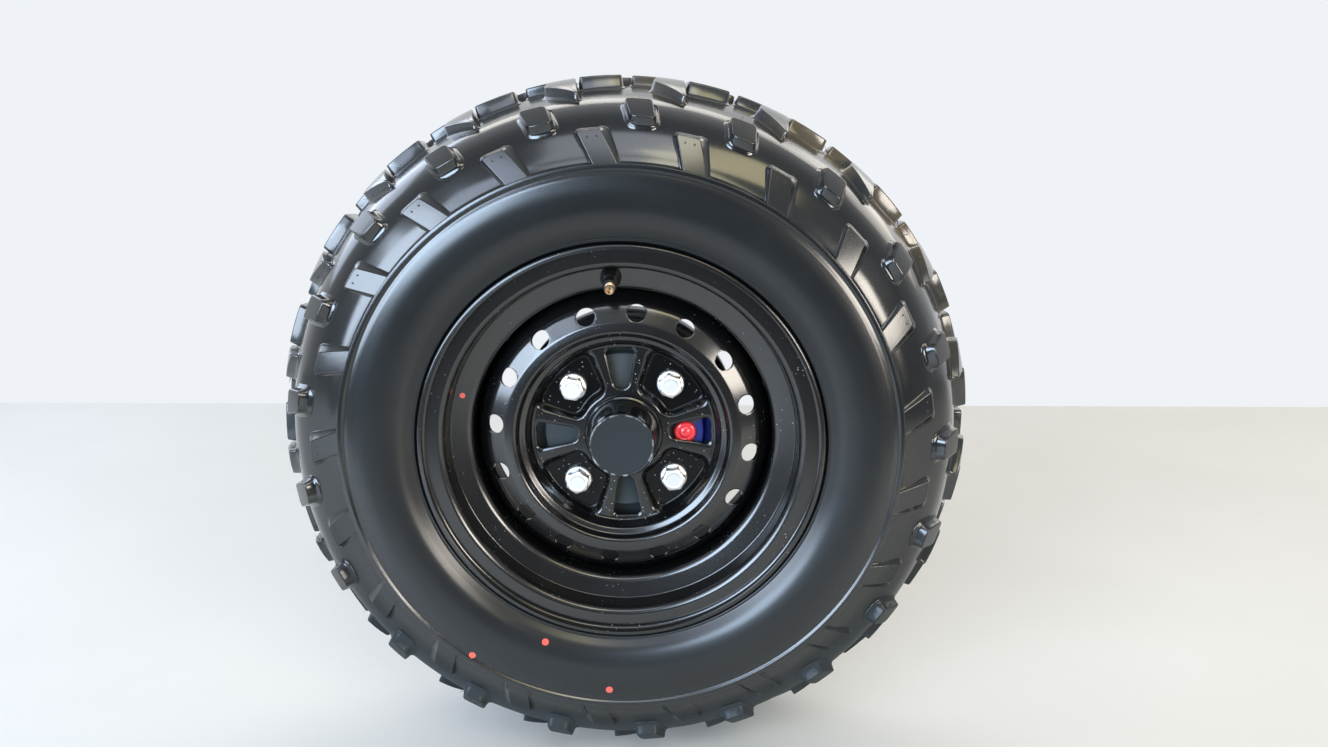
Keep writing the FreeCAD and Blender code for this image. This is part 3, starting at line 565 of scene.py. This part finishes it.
# painted sheen: the grey on lug tops and worn bands is partly wear and partly painted light from above
greyed_wear_and_sheen = add(tree, "ShaderNodeMapRange", {"From Min": 0.3, "From Max": 1.0, "To Max": 0.85}, {"Value": wear_and_painted_sheen})
tops_wear_and_painted_sheen = add(tree, "ShaderNodeMix", {"data_type": "RGBA", 7: linear("#3a4145")},
           {0: greyed_wear_and_sheen, 6: tint.outputs[2]})
high = add(tree, "ShaderNodeMapRange", {"From Min": 0.24, "From Max": 0.33, "To Max": 0.55}, {"Value": upper})
outer = add(tree, "ShaderNodeMapRange", {"From Min": 0.246, "From Max": 0.266}, {"Value": reach})
blot = add(tree, "ShaderNodeMapRange", {"From Min": 0.45, "From Max": 0.65}, {"Value": bloom})
dust = add(tree, "ShaderNodeMath", {"operation": "MULTIPLY"}, {0: high, 1: outer})
dusty = add(tree, "ShaderNodeMath", {"operation": "MULTIPLY"}, {0: dust, 1: blot})
earth = add(tree, "ShaderNodeMix", {"data_type": "RGBA", 7: linear("#6b5a38")},
            {0: dusty, 6: tops_wear_and_painted_sheen.outputs[2]})
gloss = add(tree, "ShaderNodeMapRange", {"From Min": 0.3, "From Max": 0.7, "To Min": 0.2, "To Max": 0.3},
            {"Value": bloom})
bead = add(tree, "ShaderNodeMapRange", {"From Min": 0.212, "From Max": 0.190, "To Max": 0.1},
           {"Value": reach})
duller = add(tree, "ShaderNodeMath", {"operation": "ADD"}, {0: gloss, 1: bead})
dry = add(tree, "ShaderNodeMath", {"operation": "MULTIPLY_ADD", 1: 0.35}, {0: scuffed, 2: duller})
rough = add(tree, "ShaderNodeMath", {"operation": "MULTIPLY_ADD", 1: 0.16}, {0: wear_and_painted_sheen, 2: dry})
clean = add(tree, "ShaderNodeMapRange", {"From Max": 0.6, "To Min": 1.0, "To Max": 0.1}, {"Value": scuffed})
dim = add(tree, "ShaderNodeMath", {"operation": "MULTIPLY_ADD", 1: -3.5, 2: 0.9}, {0: bead})
gleam = add(tree, "ShaderNodeMath", {"operation": "MULTIPLY"}, {0: dim, 1: clean})
smear = add(tree, "ShaderNodeMapRange", {"From Min": 0.3, "From Max": 1.0, "To Min": 0.15, "To Max": 0.22},
            {"Value": wear_and_painted_sheen})
blurred = add(tree, "ShaderNodeMath", {"operation": "ADD"}, {0: smear, 1: bead})
relief = add(tree, "ShaderNodeMapRange", {"From Max": 0.3, "To Min": 0.04, "To Max": 0.4}, {"Value": lug_top})
bump = add(tree, "ShaderNodeBump", {"Distance": 0.0004}, {"Height": grain, "Strength": relief})
fit(shader, None, {"Base Color": dotted(tree, place, earth.outputs[2], TYRE_DOTS), "Roughness": rough,
                   "Normal": bump, "Coat Weight": gleam, "Coat Roughness": blurred})

lug_tree = repeat_tree("tyre_pattern", rubber)
lugs = grown(pitch, lug_tree, {"Count": PITCHES, "First turn": 0.0, "Axle height": AXLE_Z})
HAIRS = {"Density": 6000.0, "Length": 0.0065, "Radius": 0.0004, "Tilt": 0.5, "Widest": 0.2735}


def hair_tree(name, material):
    """A tree that grows thin rubber hairs out of the faces marked as hairy, none beyond the widest r."""
    tree, start = begun(name, [(label, "NodeSocketFloat") for label in HAIRS])
    marked = add(tree, "GeometryNodeInputNamedAttribute", {"data_type": "FLOAT", "Name": "hairy"})
    roots = add(tree, "GeometryNodeDistributePointsOnFaces", {"Seed": 7},
                {"Mesh": start["Geometry"], "Selection": marked, "Density": start["Density"]})
    lie = add(tree, "ShaderNodeVectorMath",
              {"operation": "MULTIPLY_ADD", 1: (1.0, 0.0, 1.0), 2: (0.0, 0.0, -AXLE_Z)},
              {0: add(tree, "GeometryNodeInputPosition")})
    reach = add(tree, "ShaderNodeVectorMath", {"operation": "LENGTH"}, {0: lie})
    wide = add(tree, "ShaderNodeMath", {"operation": "GREATER_THAN"},
               {0: reach.outputs["Value"], 1: start["Widest"]})
    kept = add(tree, "GeometryNodeDeleteGeometry", {"domain": "POINT"},
               {"Geometry": roots.outputs["Points"], "Selection": wide})
    hair = add(tree, "GeometryNodeMeshCone", {"Vertices": 4},
               {"Radius Bottom": start["Radius"], "Depth": start["Length"]})
    shorter = add(tree, "FunctionNodeRandomValue", {2: 0.35, 3: 1.0, "Seed": 3})
    low = add(tree, "ShaderNodeMath", {"operation": "MULTIPLY", 1: -1.0}, {0: start["Tilt"]})
    lean = add(tree, "FunctionNodeRandomValue", {"data_type": "FLOAT_VECTOR", "Seed": 5},
               {0: low, 1: start["Tilt"]})
    aimed = add(tree, "FunctionNodeRotateEuler", {"rotation_type": "EULER", "space": "LOCAL"},
                {0: roots.outputs["Rotation"], 1: lean})
    placed = add(tree, "GeometryNodeInstanceOnPoints", None,
                 {"Points": kept, "Instance": hair, "Rotation": aimed, "Scale": shorter.outputs[1]})
    return ended(tree, placed, material)


hairs = grown(in_scene("tyre_hairs", lugs.data.copy()), hair_tree("mould_hairs", rubber), HAIRS)
joined = bmesh.new()
for moulded in (carcass, lugs, hairs):
    joined.from_mesh(moulded.data)
    bpy.data.objects.remove(moulded)
tyre_data = bpy.data.meshes.new("tyre_moulding")
joined.to_mesh(tyre_data)
joined.free()
tyre_data.shade_smooth()
wear(in_scene("tyre_moulding", tyre_data), rubber, "wheel", "tyre_rubber", "tyre")


# Valve. A rubber stem moulded on a brass tube and snapped into the rim from inside. It is dull
# black, and its turned end is bare, pale brass with a thread for the cap, and open.
VALVE_TURN = TURN - 1.5
VALVE_ROOT, VALVE_END = at(38.5, 130.9, VALVE_TURN), at(-1.0, 121.0, VALVE_TURN)
STEM_ROWS = [(3.4, 0.0), (3.4, 6.6), (7.4, 8.0), (7.9, 5.5), (11.9, 5.5), (12.2, 8.0), (13.2, 8.0),
             (17.2, 5.7), (19.0, 5.6), (19.4, 5.2), (20.4, 5.2), (20.8, 5.6), (28.6, 5.3), (29.4, 4.6),
             (29.4, 0.0)]
THREAD_FROM, THREAD_PITCH, THREAD_TURNS, THREAD_R, THREAD_DEEP = 29.4, 0.8, 7, 3.9, 0.45
BORE_R, BORE_DEPTH, PIN_WIDE, PIN_BACK = 2.7, 3.4, 0.8, 1.0          # and the valve's pin in its bore


def spun(name, rows, start, axis, stations=40):
    """Mesh object turned about an axis from start, from rows of (mm along it, radius in mm)."""
    axis = axis.normalized()
    side = axis.orthogonal().normalized()
    other = axis.cross(side)
    mesh = bmesh.new()
    rings = []
    for k in range(stations):
        turn = 2.0 * math.pi * k / stations
        out = side * math.cos(turn) + other * math.sin(turn)
        rings.append([mesh.verts.new(start + axis * (u / 1000.0) + out * (r / 1000.0)) for u, r in rows])
    skinned(mesh, rings)
    bmesh.ops.remove_doubles(mesh, verts=mesh.verts, dist=1e-6)
    return made(name, mesh, crease=30.0)


stem = spun("valve_stem_moulding", STEM_ROWS, VALVE_ROOT, VALVE_END - VALVE_ROOT)
stem_rubber = finish("valve_stem_rubber", {"Base Color": linear("#121213"), "Roughness": 0.42})[0]
wear(stem, stem_rubber, "wheel", "black_rubber", "valve_stem")
thread = [(THREAD_FROM, 0.0)]
for turn in range(THREAD_TURNS):
    foot = THREAD_FROM + turn * THREAD_PITCH
    thread += [(foot, THREAD_R - THREAD_DEEP), (foot + THREAD_PITCH * 0.5, THREAD_R)]
end = THREAD_FROM + THREAD_TURNS * THREAD_PITCH + 1.0
thread += [(end - 0.8, THREAD_R - 0.2), (end, THREAD_R - 0.6), (end, BORE_R), (end - BORE_DEPTH, BORE_R),
           (end - BORE_DEPTH, PIN_WIDE), (end - PIN_BACK, PIN_WIDE - 0.2), (end - PIN_BACK, 0.0)]
valve_end = spun("valve_thread", thread, VALVE_ROOT, VALVE_END - VALVE_ROOT, stations=32)
brass = finish("turned_brass", {"Base Color": linear("#b9a286"), "Metallic": 1.0, "Roughness": 0.28})[0]
wear(valve_end, brass, "wheel", "brass", "valve_tip")


# Wheel nuts. Four closed steel hexagons with a chamfered end and a seat flange, bright zinc plated.
# They clamp the disc on the drum's studs, each left at its own turn. The plate's grain is 1.1 mm.
NUT_FLATS, NUT_END_D, NUT_TURNS = 17.0, 35.5, (9.0, 37.0, 52.0, 21.0)
NUT_ROWS = [(5.5, 0.0), (5.5, 5.3), (12.5, 5.3), (12.5, 10.7), (12.2, 11.0), (10.1, 11.0), (9.6, 10.8),
            (9.0, 10.2), (8.6, 99.0), (2.2, 99.0), (1.1, 9.3), (0.45, 8.2), (0.15, 7.4), (0.0, 6.9),
            (0.0, 6.2), (0.35, 5.6), (0.35, 0.0)]       # mm from the end, and the widest it gets there
NUT_HEXAGON = (-1.0, 8.8)                               # between these it is cut to the flats


def hexagons(name, heads, rows, flats, cut, stations, crease):
    """Mesh object of hexagon heads at (place, first turn), turned about +Y and cut to their flats."""
    mesh = bmesh.new()
    for place, first_turn in heads:
        rings = []
        for k in range(stations):
            turn = 2.0 * math.pi * k / stations
            off = (turn + math.pi / 6.0) % (math.pi / 3.0) - math.pi / 6.0
            aim = turn + first_turn
            ring = []
            for u, widest in rows:
                r = min(widest, flats / 2.0 / math.cos(off)) if cut[0] < u < cut[1] else widest
                spot = place + Vector((r * math.cos(aim), u, r * math.sin(aim))) / 1000.0
                ring.append(mesh.verts.new(spot))
            rings.append(ring)
        skinned(mesh, rings)
    bmesh.ops.remove_doubles(mesh, verts=mesh.verts, dist=1e-6)
    return made(name, mesh, crease)


nut_heads = [(at(NUT_END_D, NUT_PITCH_R, PAD_TURN + quarter * QUARTER), math.radians(turn))
             for quarter, turn in enumerate(NUT_TURNS)]
nuts = hexagons("wheel_nut_set", nut_heads, NUT_ROWS, NUT_FLATS, NUT_HEXAGON, stations=72, crease=18.0)
zinc, tree, shader, place = finish("bright_zinc_plate", {
    "Base Color": linear("#eceded"), "Metallic": 1.0, "Roughness": 0.42})
cloud = add(tree, "ShaderNodeTexNoise", {"Scale": 900.0, "Detail": 2.0}, {"Vector": place})
bump = add(tree, "ShaderNodeBump", {"Strength": 0.08, "Distance": 0.0002}, {"Height": cloud})
fit(shader, None, {"Normal": bump})
wear(nuts, zinc, "wheel", "bright_zinc", "wheel_nuts")


# Hub cap. A cup moulded of dark plastic, pressed on the hub: polished sides, a matt face with a
# grain of 1.1 mm, and a thin bead around the face with painted highlights, pale spots of about 6 mm.
CAP_OUTLINE = [(44.0, 30.8, 0.0), (41.3, 30.8, 0.7), (40.2, 28.8, 1.2), (13.2, 26.4, 1.2), (10.6, 25.6, 0.8),
               (10.0, 24.9, 0.4), (10.0, 24.1, 0.3), (10.5, 23.6, 0.3), (10.6, 0.0, 0.0), (12.5, 0.0, 0.0),
               (12.5, 23.4, 1.0), (41.0, 25.2, 0.0), (44.0, 25.2, 0.0)]
FACE_R, BEAD_R, FACE_D = 23.7, 25.2, 11.8               # the face and its bead lie before this depth
cap = lathe("hub_cap_cup", rounded(CAP_OUTLINE, steps=4), stations=128)
cap_side = finish("polished_dark_plastic", {"Base Color": linear("#0e1012"), "Roughness": 0.2,
                                            "Coat Weight": 0.6})[0]
wear(cap, cap_side, "wheel", "cap_plastic", "hub_cap")
cap_face, tree, shader, place = finish("matt_dark_plastic", {
    "Base Color": linear("#1e2327"), "Roughness": 0.6, "Specular IOR Level": 0.3})
grain = add(tree, "ShaderNodeTexNoise", {"Scale": 900.0, "Detail": 2.0}, {"Vector": place})
bump = add(tree, "ShaderNodeBump", {"Strength": 0.2, "Distance": 0.0002}, {"Height": grain})
fit(shader, None, {"Normal": bump})
# painted highlight: the pale spots on the bead are painted glints
cap_bead_glints, tree, shader, place = finish("plastic_bead_painted_glints", {"Roughness": 0.35})
glint_spots = add(tree, "ShaderNodeTexNoise", {"Scale": 160.0, "Detail": 2.0}, {"Vector": place})
bright = add(tree, "ShaderNodeMapRange", {"From Min": 0.46, "From Max": 0.68}, {"Value": glint_spots})
shade = add(tree, "ShaderNodeMix", {"data_type": "RGBA", 6: linear("#1a1d1f"), 7: linear("#8d9395")},
            {0: bright})
fit(shader, None, {"Base Color": shade.outputs[2]})
cap.data.materials.append(cap_face)
cap.data.materials.append(cap_bead_glints)
for face in cap.data.polygons:
    r = math.hypot(face.center.x, face.center.z - AXLE_Z) * 1000.0
    if face.center.y < LIP_Y + FACE_D / 1000.0 and r < BEAD_R:
        face.material_index = 1 if r < FACE_R else 2


# Brake drum. Grey cast iron with hub and drum in one, turned on its faces, with the studs pressed
# in. Its skin is dull and sandy, with a grit of 1.6 mm and clouds of 17 mm, and it carries a ragged
# patch of dark blue.
def merged(node):
    """A copy of a CAD node with its loose triangles joined, to be finished."""
    mesh = bmesh.new()
    mesh.from_mesh(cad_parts[node].data)
    bmesh.ops.remove_doubles(mesh, verts=mesh.verts, dist=2e-5)
    return made(node + "_finished", mesh, crease=35.0)


BLUE_PATCH_AT, BLUE_PATCH_R, BLUE_PATCH_RAGGED = at(54.0, 66.0, TURN + 93.0), 0.0105, 0.006
iron, tree, shader, place = finish("grey_cast_iron", {"Roughness": 0.55, "Specular IOR Level": 0.35})
sand = add(tree, "ShaderNodeTexNoise", {"Scale": 620.0, "Detail": 4.0, "Roughness": 0.65}, {"Vector": place})
cloud = add(tree, "ShaderNodeTexNoise", {"Scale": 60.0, "Detail": 3.0}, {"Vector": place})
tint = add(tree, "ShaderNodeMix", {"data_type": "RGBA", 6: linear("#232a2d"), 7: linear("#363e41")},
           {0: cloud})
# a ragged patch of dark blue on the drum's face
away = add(tree, "ShaderNodeVectorMath", {"operation": "DISTANCE", 1: BLUE_PATCH_AT}, {0: place})
ragged = add(tree, "ShaderNodeMath", {"operation": "MULTIPLY_ADD", 1: BLUE_PATCH_RAGGED},
             {0: cloud, 2: away.outputs["Value"]})
mark = add(tree, "ShaderNodeMapRange",
           {"From Min": BLUE_PATCH_R + 0.003, "From Max": BLUE_PATCH_R + 0.004, "To Min": 1.0, "To Max": 0.0},
           {"Value": ragged})
blue_patched = add(tree, "ShaderNodeMix", {"data_type": "RGBA", 7: linear("#14246e")}, {0: mark, 6: tint.outputs[2]})
bump = add(tree, "ShaderNodeBump", {"Strength": 0.5, "Distance": 0.0003}, {"Height": sand})
fit(shader, None, {"Base Color": blue_patched.outputs[2], "Normal": bump})
wear(merged("brake_drum"), iron, "wheel", "cast_iron", "brake_drum")


# Drum plug. A red rubber bung that closes the adjusting hole in the drum's face. It is moulded with
# a raised rim and a button in its middle, and is smooth and wet with gloss all over.
PLUG_ROWS = [(-8.5, 0.0), (-8.5, 6.0), (-7.6, 6.7), (0.0, 6.7), (0.0, 9.0), (1.8, 9.0), (2.9, 8.6),
             (3.7, 7.8), (4.1, 6.8), (4.1, 6.0), (3.7, 5.4), (3.7, 4.8), (4.2, 4.2), (4.7, 3.2), (5.0, 1.8),
             (5.1, 0.0)]
PLUG_AT, OUTWARD = at(51.0, 49.3, TURN + 92.9), Vector((0.0, -1.0, 0.0))
plug = spun("drum_plug_bung", PLUG_ROWS, PLUG_AT, OUTWARD, stations=48)
red = finish("glossy_red_rubber", {"Base Color": linear("#e0303a"), "Roughness": 0.3, "Coat Weight": 1.0,
                                   "Coat Roughness": 0.06})[0]
wear(plug, red, "wheel", "red_rubber", "drum_plug")


# Knuckle, brake panel and wheel cylinder. A black painted forging, two aluminium castings bolted to
# it, and the bleeder with its rubber cap. Their edges are rounded as a die or a mould leaves them,
# their skins are pitted at 2.4 mm and clouded at 22 mm.
for node, finish_name, codes, metallic, roughness, round_off, slot in (
        ("steering_knuckle", "black_painted_forging", ("#141516", "#1d1f20"), 0.0, 0.34, 1.2, "forged_steel"),
        ("brake_panel", "sand_cast_aluminium", ("#7f8385", "#9a9ea0"), 0.85, 0.48, 0.8, "cast_aluminium"),
        ("wheel_cylinder", "die_cast_aluminium", ("#8b8f91", "#a3a7a9"), 0.85, 0.42, 0.6, "cast_aluminium"),
        ("bleeder_screw", "zinc_plated_screw", ("#c9cbcc", "#d9dbdc"), 1.0, 0.3, 0.2, "bright_zinc"),
        ("bleeder_cap", "black_cap_rubber", ("#151516", "#1b1b1c"), 0.0, 0.5, 0.4, "black_rubber")):
    material, tree, shader, place = finish(finish_name, {"Metallic": metallic, "Roughness": roughness})
    cloud = add(tree, "ShaderNodeTexNoise", {"Scale": 45.0, "Detail": 4.0}, {"Vector": place})
    skin = add(tree, "ShaderNodeTexNoise", {"Scale": 420.0, "Detail": 3.0}, {"Vector": place})
    tint = add(tree, "ShaderNodeMix", {"data_type": "RGBA", 6: linear(codes[0]), 7: linear(codes[1])},
               {0: cloud})
    soft = add(tree, "ShaderNodeBevel", {"samples": 4, "Radius": round_off / 1000.0})
    bump = add(tree, "ShaderNodeBump", {"Strength": 0.35, "Distance": 0.0003},
               {"Height": skin, "Normal": soft})
    fit(shader, None, {"Base Color": tint.outputs[2], "Normal": bump})
    wear(merged(node), material, "knuckle", slot, node)


# Panel bolts. Four flanged hexagon bolts that clamp the brake panel to the knuckle. Their zinc plate
# has gone grey and dull in the weather.
BOLT_SPOTS = ((33.0, 30.5, 124.0), (105.0, 31.0, 125.0), (215.0, 31.5, 124.0), (332.0, 31.5, 124.0))
BOLT_FLATS, BOLT_TURN = 10.0, 0.4               # spots are turn, r, d; each head is turned a bit further
BOLT_ROWS = [(-1.0, 0.0), (-1.0, 6.8), (0.8, 6.8), (1.5, 6.2), (1.5, 99.0), (6.4, 99.0), (7.0, 5.2),
             (7.0, 3.6), (6.6, 3.2), (6.6, 0.0)]        # mm from the seat, and the widest it gets there
BOLT_HEXAGON = (1.4, 9.0)
bolt_heads = [(at(d, r, angle), bolt * BOLT_TURN) for bolt, (angle, r, d) in enumerate(BOLT_SPOTS)]
bolts = hexagons("panel_bolts", bolt_heads, BOLT_ROWS, BOLT_FLATS, BOLT_HEXAGON, stations=48, crease=25.0)
dull_zinc = finish("dull_zinc_bolt", {"Base Color": linear("#7d8285"), "Metallic": 0.9, "Roughness": 0.45})[0]
wear(bolts, dull_zinc, "knuckle", "bright_zinc")


# Floor, lamps and camera. A pale floor and soft lamps; the world beyond is pale for camera, gloss
# and glass, and a plain grey light for everything else.
FLOOR_FRONT, FLOOR_BACK, FLOOR_SIDE, FLOOR_Z = -0.95, 0.985, 5.0, AXLE_Z - 0.2785
floor_mesh = bmesh.new()
floor_corners = ((-FLOOR_SIDE, FLOOR_FRONT), (FLOOR_SIDE, FLOOR_FRONT),
                 (FLOOR_SIDE, FLOOR_BACK), (-FLOOR_SIDE, FLOOR_BACK))
floor_mesh.faces.new([floor_mesh.verts.new((x, y, FLOOR_Z)) for x, y in floor_corners])
floor = made("floor", floor_mesh)
concrete, tree, shader, place = finish("sealed_pale_concrete", {"Roughness": 0.55})
cloud = add(tree, "ShaderNodeTexNoise", {"Scale": 3.0, "Detail": 6.0}, {"Vector": place})
tint = add(tree, "ShaderNodeMix", {"data_type": "RGBA", 6: linear("#d6d5d1"), 7: linear("#e4e3df")},
           {0: cloud})
fit(shader, None, {"Base Color": tint.outputs[2]})
floor.data.materials.append(concrete)

world = bpy.data.worlds.new("studio")
bpy.context.scene.world = world
world.use_nodes = True
tree = world.node_tree
tree.nodes.clear()
rays = add(tree, "ShaderNodeLightPath").outputs
aim = add(tree, "ShaderNodeSeparateXYZ", None, {0: add(tree, "ShaderNodeTexCoord").outputs["Generated"]})
behind = add(tree, "ShaderNodeMapRange", {"From Min": -0.6, "From Max": 0.2, "To Min": 0.14, "To Max": 1.0},
             {"Value": aim.outputs["Y"]})
above = add(tree, "ShaderNodeMapRange", {"From Min": 0.06, "From Max": 0.30, "To Min": 0.12, "To Max": 0.4},
            {"Value": aim.outputs["Z"]})
around = add(tree, "ShaderNodeMath", {"operation": "MAXIMUM"}, {0: behind, 1: above})
shine = add(tree, "ShaderNodeMath", {"operation": "MAXIMUM"}, {0: around, 1: rays["Is Camera Ray"]})
seen = add(tree, "ShaderNodeMath", {"operation": "MAXIMUM"},
           {0: rays["Is Camera Ray"], 1: rays["Is Glossy Ray"]})
clear = add(tree, "ShaderNodeMath", {"operation": "MAXIMUM"}, {0: seen, 1: rays["Is Transmission Ray"]})
light = add(tree, "ShaderNodeBackground", {"Color": linear("#ffffff"), "Strength": 0.2})
wall = add(tree, "ShaderNodeBackground", {"Color": linear("#eff2f6")}, {"Strength": shine})
both = add(tree, "ShaderNodeMixShader", None, {0: clear, 1: light, 2: wall})
add(tree, "ShaderNodeOutputWorld", None, {"Surface": both})

# Lamps as seen from the wheel: azimuth from -Y to the right and elevation in degrees, distance in
# metres, how many degrees each spans across and up, radiance, colour.
LAMPS = (("door_far", -48.0, 12.0, 2.7, 20.0, 27.0, 10.0, "#d8eaff"),
         ("door_near", -26.0, 9.5, 2.7, 25.0, 23.0, 14.5, "#cfe6ff"),
         ("skylight_left", -34.0, 31.0, 2.5, 20.0, 12.0, 4.4, "#d6e6ff"),
         ("skylight_top", -4.0, 48.0, 2.5, 30.0, 18.0, 2.6, "#e8f0ff"),
         ("skylight_right", 24.0, 44.0, 2.5, 30.0, 13.0, 4.4, "#fdf2c0"),
         ("door_right", 42.0, 9.0, 2.7, 16.0, 15.0, 14.0, "#fff6ea"),
         ("door_low", 28.0, 2.0, 2.7, 11.0, 13.0, 13.0, "#fff6ea"),
         ("hall_left", -120.0, 28.0, 2.7, 44.0, 26.0, 3.1, "#d6e6ff"),
         ("hall_right", 125.0, 28.0, 2.7, 40.0, 24.0, 2.1, "#fff6e8"),
         ("ceiling", 172.0, 54.0, 2.6, 70.0, 18.0, 3.0, "#fffaf2"))
for name, azimuth, elevation, distance, across, upward, radiance, code in LAMPS:
    flat = math.cos(math.radians(elevation))
    aim = Vector((math.sin(math.radians(azimuth)) * flat, -math.cos(math.radians(azimuth)) * flat,
                  math.sin(math.radians(elevation))))
    lamp_data = bpy.data.lights.new(name, "AREA")
    lamp_data.shape = "RECTANGLE"
    lamp_data.size = 2.0 * distance * math.tan(math.radians(across / 2.0))
    lamp_data.size_y = 2.0 * distance * math.tan(math.radians(upward / 2.0))
    lamp_data.energy = radiance * math.pi * lamp_data.size * lamp_data.size_y
    lamp_data.color = linear(code)[:3]
    lamp = in_scene(name, lamp_data)
    lamp.location = at(0.0, 0.0) + aim * distance
    lamp.rotation_euler = (-aim).to_track_quat("-Z", "Y").to_euler()

# The camera that took the photo, fitted to the nuts, the vents and the rings of the rim.
CAMERA_AT, YAW, PITCH_DOWN = (0.042, LIP_Y - 0.725, AXLE_Z + 0.240), -0.72, 13.94
PHOTO_WIDE, FOCAL_PIXELS, SENSOR_WIDE = 1328.0, 1000.0, 36.0
camera_data = bpy.data.cameras.new("photo_camera")
camera_data.sensor_width = SENSOR_WIDE
camera_data.lens = SENSOR_WIDE * FOCAL_PIXELS / PHOTO_WIDE
camera_data.clip_start = 0.05
camera = in_scene("photo_camera", camera_data)
camera.matrix_world = (Matrix.Translation(CAMERA_AT) @ Matrix.Rotation(math.radians(-YAW), 4, "Z")
                       @ Matrix.Rotation(math.pi / 2 - math.radians(PITCH_DOWN), 4, "X"))
bpy.context.scene.camera = camera
bpy.context.scene.view_settings.view_transform = "Standard"
